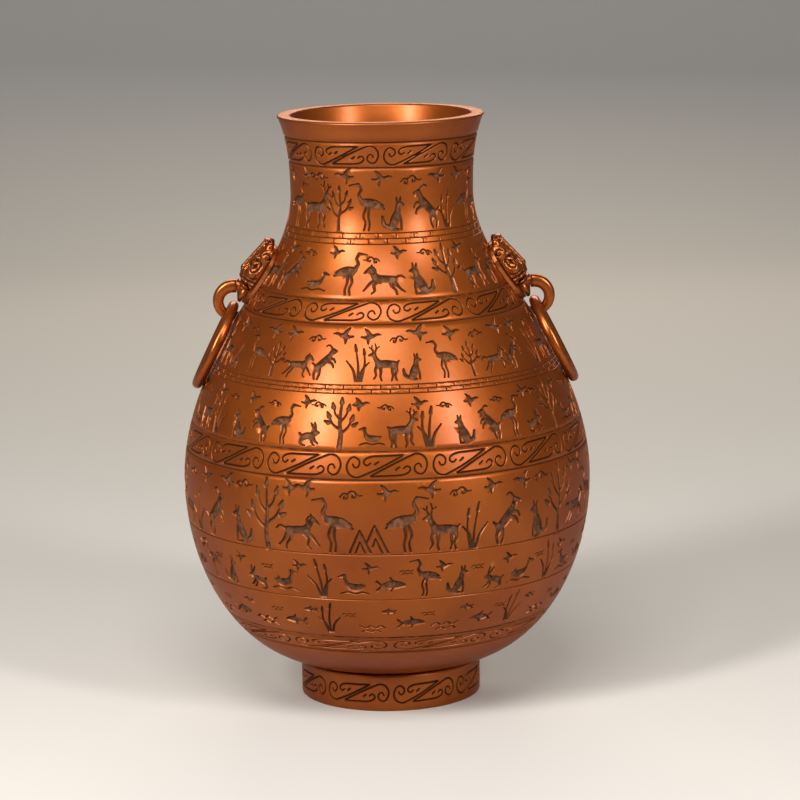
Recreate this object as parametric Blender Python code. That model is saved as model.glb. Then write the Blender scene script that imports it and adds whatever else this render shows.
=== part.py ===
"""A copper vase of the old round-bellied wine jar form, with two mask handles that carry loose rings.

The vessel is a cast shell on a separate foot ring, closed from below by a base plate. Each handle is a
saddle plate, a beast mask and a ring hook, held to the shoulder by two rivets. Units are metres, +Z is up,
and the origin is the middle of the face that the foot stands on. The handles lie along +X and -X.
"""

import math

import bmesh
import bpy
from mathutils import Matrix, Vector

# Vessel: heights are above the ground, slopes are radius gained for each unit of height.
HEIGHT = 0.316
RIM_RADIUS = 0.0552
RIM_FLARE = 0.42
LIP_WIDTH = 0.0067
LIP_EDGE = 0.0009
THROAT_HEIGHT = 0.274
THROAT_RADIUS = 0.0488
SHOULDER_HEIGHT = 0.226
SHOULDER_RADIUS = 0.0675
SHOULDER_SLOPE = -0.68
BELLY_HEIGHT = 0.120
BELLY_RADIUS = 0.1098
UNDERSIDE_RADIUS = 0.040
WALL = 0.0035

# Turned border lines, as distances from the lip, the shoulder, the belly and the foot joint.
BORDERS_UNDER_LIP = (0.0110, 0.0242)
BORDERS_UNDER_SHOULDER = (0.0004, 0.0118)
BORDERS_OVER_BELLY = (0.0331, 0.0189)
BORDERS_OVER_JOINT = (0.0310, 0.0212)
BORDER_WIDTH = 0.0015
BORDER_DEPTH = 0.0006

# Foot ring and base plate.
FOOT_HEIGHT = 0.020
FOOT_RADIUS = 0.0487
FOOT_WALL = 0.0050
FOOT_STEP = 0.0022
FOOT_EDGE = 0.0014
SPIGOT_WALL = 0.0040
SPIGOT_DEPTH = 0.0060
BASE_THICKNESS = 0.0030
LEDGE_WIDTH = 0.0032

# Handle: the saddle plate, the mask on it and the rivets through both.
HANDLE_HEIGHT = 0.2295
PLATE_LENGTH = 0.035
PLATE_WIDTH = 0.037
PLATE_THICKNESS = 0.0018
PLATE_TAPER = 0.22
MASK_WIDTH = 0.029
MASK_LENGTH = 0.031
MASK_DEPTH = 0.0100
RIVET_RADIUS = 0.0016
RIVET_HEAD_RADIUS = 0.0036
RIVET_HEAD_HEIGHT = 0.0018
RIVET_BITE = 0.0036
RIVET_RISES = (-0.0005, 0.0080)

# Ring hook and loose ring. The hook's arc starts level and runs down and back to the wall.
HOOK_REACH = 0.0020
HOOK_RADIUS = 0.0083
HOOK_ROOT = 0.0035
HOOK_TIP = 0.0021
HOOK_SWEEP = math.radians(215)
TENON_RADIUS = 0.0020
TENON_LENGTH = 0.0050
RING_RADIUS = 0.0230
RING_BAR = 0.0028
RING_SEAT_ANGLE = math.radians(-86)

# Clearances between pieces, and how finely round shapes are cut.
GAP = 0.0003
AROUND = 46
RING_STEPS = 34
BAR_SIDES = 12
RIVET_SIDES = 10

# The vessel's stations, from the lip down: height, radius and slope.
STATIONS = (
    (HEIGHT, RIM_RADIUS, RIM_FLARE),
    (THROAT_HEIGHT, THROAT_RADIUS, 0.0),
    (SHOULDER_HEIGHT, SHOULDER_RADIUS, SHOULDER_SLOPE),
    (BELLY_HEIGHT, BELLY_RADIUS, 0.0),
)
STEPS_BETWEEN_STATIONS = (5, 6, 8)
STEPS_UNDER_BELLY = 8

JOINT_HEIGHT = FOOT_HEIGHT + GAP
COLLAR_RADIUS = FOOT_RADIUS - FOOT_STEP
SPIGOT_RADIUS = FOOT_RADIUS - FOOT_WALL - GAP
SPIGOT_BOTTOM = FOOT_HEIGHT - SPIGOT_DEPTH
BASE_TOP = SPIGOT_BOTTOM - GAP
LEDGE_HEIGHT = BASE_TOP - BASE_THICKNESS - GAP
MASK_SEAT = 2 * GAP + PLATE_THICKNESS


def clear_scene():
    for obj in list(bpy.data.objects):
        bpy.data.objects.remove(obj)


def metal(name, colour, roughness):
    made = bpy.data.materials.new(name)
    made.use_nodes = True
    shader = made.node_tree.nodes["Principled BSDF"]
    shader.inputs["Base Color"].default_value = (*colour, 1.0)
    shader.inputs["Roughness"].default_value = roughness
    shader.inputs["Metallic"].default_value = 1.0
    return made


def mesh_of(bm, name, sharp_angle=math.radians(35)):
    bmesh.ops.remove_doubles(bm, verts=bm.verts, dist=1e-6)
    bmesh.ops.recalc_face_normals(bm, faces=bm.faces)
    mesh = bpy.data.meshes.new(name)
    bm.to_mesh(mesh)
    bm.free()
    mesh.shade_smooth()
    mesh.set_sharp_from_angle(angle=sharp_angle)
    return mesh


def place(name, mesh, material, parent=None, matrix=None):
    obj = bpy.data.objects.new(name, mesh)
    bpy.context.scene.collection.objects.link(obj)
    if not mesh.materials:
        mesh.materials.append(material)
    obj.parent = parent
    if matrix is not None:
        obj.matrix_local = matrix
    return obj


def cut(mesh, cutters, operation="DIFFERENCE"):
    """The mesh after an exact Boolean with each cutter mesh in turn."""
    body = place(mesh.name, mesh, None)
    helpers = [body]
    for number, cutter in enumerate(cutters):
        tool = place(f"{mesh.name}_tool_{number}", cutter, None)
        tool.display_type = "WIRE"
        tool.hide_render = True
        helpers.append(tool)
        step = body.modifiers.new(f"cut_{number}", "BOOLEAN")
        step.operation = operation
        step.object = tool
    return applied(body, helpers)


def applied(body, helpers):
    """The body's mesh with its modifiers made real. The helper objects are removed."""
    graph = bpy.context.evaluated_depsgraph_get()
    made = bpy.data.meshes.new_from_object(body.evaluated_get(graph), depsgraph=graph)
    made.name = body.name
    made.materials.clear()
    made.shade_smooth()
    made.set_sharp_from_angle(angle=math.radians(35))
    for obj in helpers:
        bpy.data.objects.remove(obj)
    return made


def between(upper, lower, height):
    """Radius on the smooth curve between two stations that keeps both radii and both slopes."""
    span = lower[0] - upper[0]
    t = (height - upper[0]) / span
    ends = (2 * t**3 - 3 * t**2 + 1) * upper[1] + (3 * t**2 - 2 * t**3) * lower[1]
    slopes = (t**3 - 2 * t**2 + t) * upper[2] + (t**3 - t**2) * lower[2]
    return ends + span * slopes


def underside_radius(height):
    """Radius on the quarter ellipse from the belly's widest line down to the foot joint."""
    drop = (BELLY_HEIGHT - height) / (BELLY_HEIGHT - JOINT_HEIGHT)
    swell = math.sqrt(max(0.0, 1 - drop**2))
    return UNDERSIDE_RADIUS + (BELLY_RADIUS - UNDERSIDE_RADIUS) * swell


def wall_radius(height):
    for upper, lower in zip(STATIONS, STATIONS[1:]):
        if height >= lower[0]:
            return between(upper, lower, height)
    return underside_radius(height)


def wall_normal(height):
    """Outward normal of the vessel at a height, as radial and upward shares."""
    small = HEIGHT / 10000
    slope = (wall_radius(height + small) - wall_radius(height - small)) / (2 * small)
    length = math.hypot(1.0, slope)
    return 1.0 / length, -slope / length


def wall_heights():
    """Heights at which the vessel's outline is drawn, from the lip down to the foot joint."""
    heights = [HEIGHT]
    for (upper, lower), steps in zip(zip(STATIONS, STATIONS[1:]), STEPS_BETWEEN_STATIONS):
        heights += [upper[0] + (lower[0] - upper[0]) * n / steps for n in range(1, steps + 1)]
    swell = (COLLAR_RADIUS - UNDERSIDE_RADIUS) / (BELLY_RADIUS - UNDERSIDE_RADIUS)
    last_angle = math.acos(swell)
    drop = BELLY_HEIGHT - JOINT_HEIGHT
    for n in range(1, STEPS_UNDER_BELLY + 1):
        heights.append(BELLY_HEIGHT - drop * math.sin(last_angle * n / STEPS_UNDER_BELLY))
    return heights


def offset_point(height, distance):
    """A point that far outside the wall, measured square to it."""
    radial, upward = wall_normal(height)
    return wall_radius(height) + distance * radial, height + distance * upward


def lip_thickness(height):
    """The wall thickens smoothly from the throat up to the flat lip."""
    t = (height - THROAT_HEIGHT) / (HEIGHT - THROAT_HEIGHT)
    return WALL + (LIP_WIDTH - WALL) * t * t * (3 - 2 * t)


def rounded(before, corner, after, radius, steps=2):
    """Points of a curved corner that starts and ends one radius away from the sharp one."""
    corner = Vector(corner)
    start = corner + (Vector(before) - corner).normalized() * radius
    end = corner + (Vector(after) - corner).normalized() * radius
    shares = [n / steps for n in range(steps + 1)]
    return [tuple((1 - t) ** 2 * start + 2 * t * (1 - t) * corner + t * t * end) for t in shares]


def spun(outline, around=AROUND, closed=True):
    """A bmesh of an outline of (radius, height) points turned once round the Z axis."""
    bm = bmesh.new()
    verts = [bm.verts.new((radius, 0.0, height)) for radius, height in outline]
    pairs = list(zip(verts, verts[1:]))
    if closed:
        pairs.append((verts[-1], verts[0]))
    for pair in pairs:
        bm.edges.new(pair)
    whole = bm.verts[:] + bm.edges[:]
    bmesh.ops.spin(
        bm, geom=whole, cent=(0, 0, 0), axis=(0, 0, 1), angle=math.tau, steps=around, use_merge=True
    )
    return bm


def column(radius, start, end, direction, name, sides=BAR_SIDES):
    """A round column along a direction, used for holes and sockets."""
    bm = bmesh.new()
    turn = direction.to_track_quat("Z", "Y").to_matrix().to_4x4()
    middle = (start + end) / 2
    bmesh.ops.create_cone(
        bm, cap_ends=True, segments=sides, radius1=radius, radius2=radius,
        depth=(end - start).length, matrix=Matrix.Translation(middle) @ turn,
    )
    return mesh_of(bm, name)


def rivet_line(rise):
    """Where a rivet's axis meets the vessel's outer wall, and the axis pointing outwards."""
    height = HANDLE_HEIGHT + rise
    radial, upward = wall_normal(height)
    return Vector((wall_radius(height), 0.0, height)), Vector((radial, 0.0, upward))


def rivet_seat(rise):
    """How far under the outer wall a rivet's flat head clears the curved inside of the wall."""
    point, axis = rivet_line(rise)
    depths = [WALL]
    for step in (-RIVET_HEAD_RADIUS, RIVET_HEAD_RADIUS):
        radius, height = offset_point(HANDLE_HEIGHT + rise + step, -WALL)
        depths.append((point - Vector((radius, 0.0, height))).dot(axis))
    bend = RIVET_HEAD_RADIUS**2 / (2 * (point.x - WALL))
    return max(depths) + bend + GAP


def rivet_holes(name, turn=Matrix.Identity(4)):
    """Cutters for the rivets of one handle, which pass the wall and the plate and end in the mask."""
    holes = []
    reach = WALL + RIVET_HEAD_RADIUS
    for number, rise in enumerate(RIVET_RISES):
        point, axis = rivet_line(rise)
        start, end = point - axis * reach, point + axis * (MASK_SEAT + RIVET_BITE + GAP)
        hole = column(RIVET_RADIUS + GAP, start, end, axis, f"{name}_hole_{number}", RIVET_SIDES)
        hole.transform(turn)
        holes.append(hole)
    return holes


def border_heights():
    """Heights of the border lines that frame the scroll bands."""
    heights = [HEIGHT - drop for drop in BORDERS_UNDER_LIP]
    heights += [SHOULDER_HEIGHT - drop for drop in BORDERS_UNDER_SHOULDER]
    heights += [BELLY_HEIGHT + rise for rise in BORDERS_OVER_BELLY]
    heights += [JOINT_HEIGHT + rise for rise in BORDERS_OVER_JOINT]
    return heights


def outer_outline(heights):
    """The vessel's outer wall from the lip to the foot joint, with a groove at each border line."""
    borders = border_heights()
    plain = [z for z in heights[1:-1] if all(abs(z - border) > 4 * BORDER_WIDTH for border in borders)]
    points = [(wall_radius(z), z) for z in plain]
    for border in borders:
        points.append(offset_point(border, -BORDER_DEPTH))
        for z in (border + BORDER_WIDTH / 2, border - BORDER_WIDTH / 2):
            points.append((wall_radius(z), z))
    points.sort(key=lambda point: -point[1])
    ends = [(wall_radius(z), z) for z in (heights[0], heights[-1])]
    return [ends[0]] + points + [ends[1]]


def vase_body_mesh():
    heights = wall_heights()
    outer = outer_outline(heights)
    inner = []
    rivet_heights = [HANDLE_HEIGHT + rise for rise in RIVET_RISES]
    for z in sorted(heights[::2] + rivet_heights, reverse=True):
        if z >= THROAT_HEIGHT:
            inner.append((wall_radius(z) - lip_thickness(z), z))
        else:
            inner.append(offset_point(z, -WALL))
    spigot_inside = SPIGOT_RADIUS - SPIGOT_WALL
    inner = [point for point in inner if point[0] > spigot_inside + WALL / 2]
    floor_height = inner[-1][1]
    outline = rounded(inner[0], outer[0], outer[1], LIP_EDGE)
    outline += outer[1:]
    outline += [(COLLAR_RADIUS, JOINT_HEIGHT), (SPIGOT_RADIUS, JOINT_HEIGHT)]
    outline += [(SPIGOT_RADIUS, SPIGOT_BOTTOM), (spigot_inside, SPIGOT_BOTTOM)]
    outline += [(spigot_inside, floor_height - WALL / 4)]
    outline += inner[:0:-1]
    outline += rounded(inner[1], inner[0], outer[0], LIP_EDGE)
    half_turn = Matrix.Rotation(math.pi, 4, "Z")
    holes = rivet_holes("right") + rivet_holes("left", half_turn)
    return cut(mesh_of(spun(outline), "vase_body"), holes)


def foot_ring_mesh():
    inside = FOOT_RADIUS - FOOT_WALL
    ledge = inside - LEDGE_WIDTH
    top_out, top_in = (FOOT_RADIUS, FOOT_HEIGHT), (inside, FOOT_HEIGHT)
    low_out, low_in = (FOOT_RADIUS, 0.0), (ledge, 0.0)
    outline = rounded(top_in, top_out, low_out, FOOT_EDGE)
    outline += rounded(top_out, low_out, low_in, FOOT_EDGE / 2)
    outline += rounded(low_out, low_in, (ledge, LEDGE_HEIGHT), FOOT_EDGE / 2)
    outline += [(ledge, LEDGE_HEIGHT), (inside, LEDGE_HEIGHT), top_in]
    return mesh_of(spun(outline), "foot_ring")


def base_plate_mesh():
    radius = FOOT_RADIUS - FOOT_WALL - GAP
    bottom = BASE_TOP - BASE_THICKNESS
    outline = [(0.0, BASE_TOP)]
    outline += rounded((0.0, BASE_TOP), (radius, BASE_TOP), (radius, bottom), FOOT_EDGE / 2)
    outline += [(radius, bottom), (0.0, bottom)]
    return mesh_of(spun(outline, closed=False), "base_plate")


def seat_heights():
    """Outline heights that span the handle, with one spare step at each end."""
    reach = PLATE_LENGTH
    heights = [z for z in wall_heights() if abs(z - HANDLE_HEIGHT) < reach]
    return [HANDLE_HEIGHT + reach] + heights + [HANDLE_HEIGHT - reach]


def seat_solid(distance, name):
    """A solid that fills the vessel round the handle, out to a distance from its wall."""
    wall = [offset_point(z, distance) for z in seat_heights()]
    outline = [(0.0, wall[0][1])] + wall + [(0.0, wall[-1][1])]
    return mesh_of(spun(outline, closed=False), name)


def handle_frame():
    """Matrix of the handle's own frame on the right side: X across, Y up the wall, Z out of it."""
    radial, upward = wall_normal(HANDLE_HEIGHT)
    origin_radius, origin_height = offset_point(HANDLE_HEIGHT, MASK_SEAT)
    frame = Matrix.Identity(4)
    frame.col[0][:3] = (0.0, 1.0, 0.0)
    frame.col[1][:3] = (-upward, 0.0, radial)
    frame.col[2][:3] = (radial, 0.0, upward)
    frame.col[3][:3] = (origin_radius, 0.0, origin_height)
    return frame


def saddle_plate_mesh():
    """A shield cut from a shell that follows the shoulder, so that it sits on the wall all over."""
    heights = seat_heights()
    outside = [offset_point(z, GAP + PLATE_THICKNESS) for z in heights]
    inside = [offset_point(z, GAP) for z in heights]
    shell = mesh_of(spun(inside[::-1] + outside), "saddle_plate")
    bm = bmesh.new()
    corners = 28
    verts = []
    for n in range(corners):
        angle = math.tau * n / corners
        across = math.copysign(abs(math.cos(angle)) ** 0.75, math.cos(angle))
        along = math.copysign(abs(math.sin(angle)) ** 0.75, math.sin(angle))
        narrowing = 1 - PLATE_TAPER * (1 - along) / 2
        verts.append(bm.verts.new((across * narrowing * PLATE_WIDTH / 2, along * PLATE_LENGTH / 2, -MASK_DEPTH)))
    face = bm.faces.new(verts)
    raised = bmesh.ops.extrude_face_region(bm, geom=[face])["geom"]
    moved = [item for item in raised if isinstance(item, bmesh.types.BMVert)]
    bmesh.ops.translate(bm, verts=moved, vec=(0, 0, 2 * MASK_DEPTH))
    bmesh.ops.transform(bm, matrix=handle_frame(), verts=bm.verts)
    shield = mesh_of(bm, "shield")
    blank = bmesh.new()
    blank.from_mesh(cut(shell, [shield], "INTERSECT"))
    return cut(mesh_of(blank, "saddle_plate"), rivet_holes("plate"))


def mask_place(centre, lean=0.0, roll=0.0, yaw=0.0):
    """A place on the mask, as shares of its half width, half length and depth, and a turn in degrees."""
    spot = Vector((centre[0] * MASK_WIDTH / 2, centre[1] * MASK_LENGTH / 2, centre[2] * MASK_DEPTH))
    turn = Matrix.Rotation(math.radians(roll), 4, "Z") @ Matrix.Rotation(math.radians(lean), 4, "X")
    return Matrix.Translation(spot) @ turn @ Matrix.Rotation(math.radians(yaw), 4, "Y")


def mask_size(shares):
    unit = Vector((MASK_WIDTH / 2, MASK_LENGTH / 2, MASK_DEPTH))
    return Matrix.Diagonal((*(share * side for share, side in zip(shares, unit)), 1.0))


def swelling(bm, centre, radii, **turns):
    """One rounded form of the mask."""
    matrix = mask_place(centre, **turns) @ mask_size(radii)
    bmesh.ops.create_uvsphere(bm, u_segments=18, v_segments=12, radius=1.0, matrix=matrix)


def block(bm, centre, halves, narrowing=0.0, **turns):
    """One squared form of the mask, which can grow narrower towards the nose."""
    made = bmesh.ops.create_cube(bm, size=2.0)["verts"]
    for vert in made:
        if vert.co.y < 0:
            vert.co.x *= 1 - narrowing
    bmesh.ops.transform(bm, matrix=mask_place(centre, **turns) @ mask_size(halves), verts=made)


def curl(bm, centre, radius, bar, **turns):
    """A raised ring, as the carved curl on a cheek. Its radius and bar are in metres."""
    steps, sides = 20, 8
    around = [math.tau * n / steps for n in range(steps)]
    across = [math.tau * n / sides for n in range(sides)]
    matrix = mask_place(centre, **turns)
    rows = []
    for a in around:
        spots = [(radius + bar * math.cos(b), bar * math.sin(b)) for b in across]
        rows.append([bm.verts.new(matrix @ Vector((r * math.cos(a), r * math.sin(a), h))) for r, h in spots])
    for n, m in ((n, m) for n in range(steps) for m in range(sides)):
        here, ahead = rows[n], rows[(n + 1) % steps]
        bm.faces.new((here[m], ahead[m], ahead[(m + 1) % sides], here[(m + 1) % sides]))


def mask_forms():
    """The beast mask as overlapping forms, in the handle's frame: Y up the brow, Z out to the nose."""
    bm = bmesh.new()
    # Head, and the long flat brow that ends in a rolled crest above and the nose below.
    swelling(bm, (0, 0.26, 0.12), (0.84, 0.78, 0.54))
    swelling(bm, (0, 0.86, 0.14), (0.66, 0.26, 0.40))
    block(bm, (0, 0.44, 0.36), (0.50, 0.56, 0.30), narrowing=0.10, lean=-10)
    block(bm, (0, 0.56, 0.69), (0.40, 0.60, 0.10), narrowing=0.30, lean=-10.5)
    swelling(bm, (0, 1.13, 0.48), (0.48, 0.13, 0.22))
    # Nose, muzzle with two lips, the jaw under it and the throat that runs down to the plate.
    swelling(bm, (0, -0.06, 0.86), (0.30, 0.11, 0.15))
    swelling(bm, (0, -0.14, 0.48), (0.62, 0.30, 0.44))
    swelling(bm, (0, -0.34, 0.36), (0.72, 0.09, 0.46), lean=-6)
    swelling(bm, (0, -0.50, 0.28), (0.58, 0.09, 0.42), lean=-6)
    swelling(bm, (0, -0.60, 0.26), (0.34, 0.25, 0.40))
    swelling(bm, (0, -0.80, 0.10), (0.34, 0.40, 0.36))
    for side in (-1, 1):
        swelling(bm, (0.21 * side, -0.08, 0.82), (0.15, 0.11, 0.17))
        swelling(bm, (0.66 * side, 0.00, 0.26), (0.32, 0.32, 0.44))
        swelling(bm, (0.62 * side, 0.33, 0.44), (0.19, 0.13, 0.22))
        swelling(bm, (0.60 * side, 0.52, 0.46), (0.29, 0.085, 0.24), roll=14 * side)
        curl(bm, (0.88 * side, 0.00, 0.44), 0.0027, 0.0010, yaw=56 * side)
        for rise in (0.50, 0.70, 0.90):
            swelling(bm, (0.76 * side, rise, 0.14), (0.15, 0.070, 0.32), yaw=-8 * side)
        swelling(bm, (0.66 * side, 1.02, 0.26), (0.18, 0.22, 0.22), roll=-14 * side)
    bmesh.ops.transform(bm, matrix=handle_frame(), verts=bm.verts)
    # Boss that the hook is set in.
    seam = hook_seam()
    bmesh.ops.create_cone(
        bm, cap_ends=True, segments=24, radius1=HOOK_ROOT, radius2=HOOK_ROOT, depth=2 * MASK_DEPTH,
        matrix=Matrix.Translation(seam) @ Matrix.Rotation(math.pi / 2, 4, "Y") @ mask_boss_shift(),
    )
    return mesh_of(bm, "mask_forms")


def mask_boss_shift():
    """The boss reaches inwards from a little beyond the seam, where it is faced off later."""
    return Matrix.Translation((0.0, 0.0, HOOK_ROOT / 2 - MASK_DEPTH))


def beast_mask_mesh():
    """The forms fused into one casting, trimmed to the plate and drilled for its rivets and hook."""
    body = place("beast_mask", mask_forms(), None)
    fuse = body.modifiers.new("fuse", "REMESH")
    fuse.mode = "VOXEL"
    fuse.voxel_size = MASK_WIDTH / 47
    soften = body.modifiers.new("soften", "SMOOTH")
    soften.factor = 0.5
    soften.iterations = 2
    thin = body.modifiers.new("thin", "DECIMATE")
    thin.ratio = 0.085
    thin.use_symmetry = True
    thin.symmetry_axis = "Y"
    casting = applied(body, [body])
    seam, outward = hook_seam(), Vector((1, 0, 0))
    facing = column(3 * HOOK_ROOT, seam, seam + outward * MASK_DEPTH, outward, "facing")
    bottom = seam - outward * (TENON_LENGTH + GAP)
    socket = column(TENON_RADIUS + GAP, bottom, seam + outward * GAP, outward, "socket")
    seat = seat_solid(MASK_SEAT, "mask_seat")
    return cut(casting, [seat, facing, socket] + rivet_holes("mask"))


def hook_seam():
    """Middle of the joint between the mask's boss and the hook."""
    return handle_frame() @ Vector((0.0, -0.755 * MASK_LENGTH / 2, 0.61 * MASK_DEPTH))


def hook_centre():
    return hook_seam() + Vector((HOOK_REACH, 0.0, -HOOK_RADIUS))


def hook_thickness(angle):
    """Half thickness of the hook's bar, which tapers along its arc from the top."""
    return HOOK_ROOT + (HOOK_TIP - HOOK_ROOT) * (math.pi / 2 - angle) / HOOK_SWEEP


def hook_path():
    """Middle, sideways direction and half thickness of each section of the hook."""
    seam, centre = hook_seam(), hook_centre()
    start, upward = seam + Vector((GAP, 0, 0)), Vector((0, 0, 1))
    path = [(seam - Vector((TENON_LENGTH, 0, 0)), upward, TENON_RADIUS)]
    path += [(start, upward, TENON_RADIUS), (start, upward, HOOK_ROOT)]
    steps = 14
    for n in range(steps + 1):
        angle = math.pi / 2 - HOOK_SWEEP * n / steps
        outward = Vector((math.cos(angle), 0.0, math.sin(angle)))
        path.append((centre + outward * HOOK_RADIUS, outward, hook_thickness(angle)))
    return path


def ring_hook_mesh():
    """A tapered bar with a tenon, which curls down and returns to the wall, where it is trimmed."""
    bm = bmesh.new()
    turns = [math.tau * n / BAR_SIDES for n in range(BAR_SIDES)]
    loops = []
    for middle, outward, half in hook_path():
        sideways = Vector((0, half, 0))
        spots = [middle + outward * half * math.cos(a) + sideways * math.sin(a) for a in turns]
        loops.append([bm.verts.new(spot) for spot in spots])
    for first, second in zip(loops, loops[1:]):
        for n in range(BAR_SIDES):
            after = (n + 1) % BAR_SIDES
            bm.faces.new((first[n], first[after], second[after], second[n]))
    bm.faces.new(loops[0])
    bm.faces.new(loops[-1])
    return cut(mesh_of(bm, "ring_hook"), [seat_solid(GAP, "hook_seat")])


def ring_pivot():
    """Middle of the ring's bar where it hangs in the hook: the axis that the ring swings on."""
    inside = HOOK_RADIUS - hook_thickness(RING_SEAT_ANGLE) - GAP - RING_BAR
    outward = Vector((math.cos(RING_SEAT_ANGLE), 0.0, math.sin(RING_SEAT_ANGLE)))
    return hook_centre() + outward * inside


def ring_clearance(tilt):
    """Least distance from the ring's bar to the vessel when the ring leans out by an angle."""
    pivot = ring_pivot()
    down = Vector((math.sin(tilt), 0.0, -math.cos(tilt)))
    least = HEIGHT
    for n in range(RING_STEPS):
        angle = math.tau * n / RING_STEPS
        point = pivot + down * RING_RADIUS * (1 - math.cos(angle))
        point.y = RING_RADIUS * math.sin(angle)
        radial = wall_normal(point.z)[0]
        distance = (math.hypot(point.x, point.y) - wall_radius(point.z)) * radial
        least = min(least, distance - RING_BAR)
    return least


def resting_tilt():
    """The lean at which the hanging ring comes to lie on the belly."""
    low, high = 0.0, math.pi / 2
    for _ in range(40):
        middle = (low + high) / 2
        if ring_clearance(middle) < GAP:
            low = middle
        else:
            high = middle
    return high


def ring_mesh():
    """A round bar bent into a ring that hangs from its own origin."""
    bm = bmesh.new()
    across = Matrix.Rotation(math.pi / 2, 4, "Y")
    bmesh.ops.create_circle(bm, segments=BAR_SIDES, radius=RING_BAR, matrix=Matrix.Rotation(math.pi / 2, 4, "X"))
    bmesh.ops.rotate(bm, verts=bm.verts, cent=(0, 0, 0), matrix=across.to_3x3())
    whole = bm.verts[:] + bm.edges[:]
    bmesh.ops.spin(
        bm, geom=whole, cent=(0, 0, -RING_RADIUS), axis=(1, 0, 0), angle=math.tau,
        steps=RING_STEPS, use_merge=True,
    )
    return mesh_of(bm, "loose_ring")


def rivet_mesh(rise):
    """A rivet with its head inside the vessel and its shank ending in the mask."""
    seat = rivet_seat(rise)
    crown = seat + RIVET_HEAD_HEIGHT
    tip = MASK_SEAT + RIVET_BITE
    rim = (RIVET_HEAD_RADIUS, -seat)
    outline = [(0.0, tip), (RIVET_RADIUS, tip), (RIVET_RADIUS, -seat), rim]
    outline += rounded(rim, (RIVET_HEAD_RADIUS, -crown), (0.0, -crown), RIVET_HEAD_HEIGHT / 2)
    outline.append((0.0, -crown))
    bm = spun(outline, around=RIVET_SIDES, closed=False)
    point, axis = rivet_line(rise)
    turn = axis.to_track_quat("Z", "Y").to_matrix().to_4x4()
    bmesh.ops.transform(bm, matrix=Matrix.Translation(point) @ turn, verts=bm.verts)
    return mesh_of(bm, "rivet")


def handle_empty(name, angle):
    empty = bpy.data.objects.new(name, None)
    bpy.context.scene.collection.objects.link(empty)
    empty.rotation_euler = (0.0, 0.0, angle)
    return empty


def main():
    clear_scene()
    shell = metal("engraved_copper", (0.44, 0.135, 0.032), 0.38)
    casting = metal("cast_copper", (0.40, 0.125, 0.036), 0.34)
    polished = metal("polished_copper", (0.50, 0.160, 0.040), 0.26)

    place("vase_body", vase_body_mesh(), shell)
    place("foot_ring", foot_ring_mesh(), shell)
    place("base_plate", base_plate_mesh(), shell)

    plate, mask, hook, ring = saddle_plate_mesh(), beast_mask_mesh(), ring_hook_mesh(), ring_mesh()
    rivets = [rivet_mesh(rise) for rise in RIVET_RISES]
    hang = Matrix.Translation(ring_pivot()) @ Matrix.Rotation(-resting_tilt(), 4, "Y")
    for side, angle in (("right", 0.0), ("left", math.pi)):
        handle = handle_empty(f"{side}_handle", angle)
        place(f"{side}_saddle_plate", plate, casting, handle)
        place(f"{side}_beast_mask", mask, casting, handle)
        place(f"{side}_ring_hook", hook, polished, handle)
        place(f"{side}_loose_ring", ring, polished, handle, hang)
        for level, rivet in zip(("lower", "upper"), rivets):
            place(f"{side}_{level}_rivet", rivet, casting, handle)
    pivot = ring_pivot()
    print(f"ring pivot {pivot.x:.5f} {pivot.z:.5f}, resting lean {math.degrees(resting_tilt()):.2f} degrees")


main()
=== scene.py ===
import math

import bmesh
import bpy
import numpy as np
from mathutils import Matrix, Vector
from mathutils.geometry import delaunay_2d_cdt


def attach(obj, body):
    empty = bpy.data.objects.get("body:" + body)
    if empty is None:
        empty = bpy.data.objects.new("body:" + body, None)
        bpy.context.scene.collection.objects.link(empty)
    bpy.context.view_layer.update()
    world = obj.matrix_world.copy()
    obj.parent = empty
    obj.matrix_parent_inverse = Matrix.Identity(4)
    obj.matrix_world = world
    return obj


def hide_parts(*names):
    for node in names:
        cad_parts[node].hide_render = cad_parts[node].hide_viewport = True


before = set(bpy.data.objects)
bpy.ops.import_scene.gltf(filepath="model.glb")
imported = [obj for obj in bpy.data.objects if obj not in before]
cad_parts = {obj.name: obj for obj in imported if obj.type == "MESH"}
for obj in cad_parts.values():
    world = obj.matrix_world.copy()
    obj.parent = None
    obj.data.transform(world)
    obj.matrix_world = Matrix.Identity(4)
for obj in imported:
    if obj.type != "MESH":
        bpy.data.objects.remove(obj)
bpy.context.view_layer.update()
print("stage: frame loaded")

mm = 0.001


# Materials

def nodeMaker(material):
    material.use_nodes = True
    tree = material.node_tree

    def add(kind, **values):
        node = tree.nodes.new(kind)
        for key, value in values.items():
            if hasattr(node, key):
                setattr(node, key, value)
            else:
                node.inputs[key.replace("_", " ")].default_value = value
        return node

    return tree, add


def ramp(add, stops):
    node = add("ShaderNodeValToRGB")
    spots = node.color_ramp.elements
    while len(spots) < len(stops):
        spots.new(0.5)
    for spot, (place, colour) in zip(spots, stops):
        spot.position = place
        spot.color = (*colour, 1.0)
    return node


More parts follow.
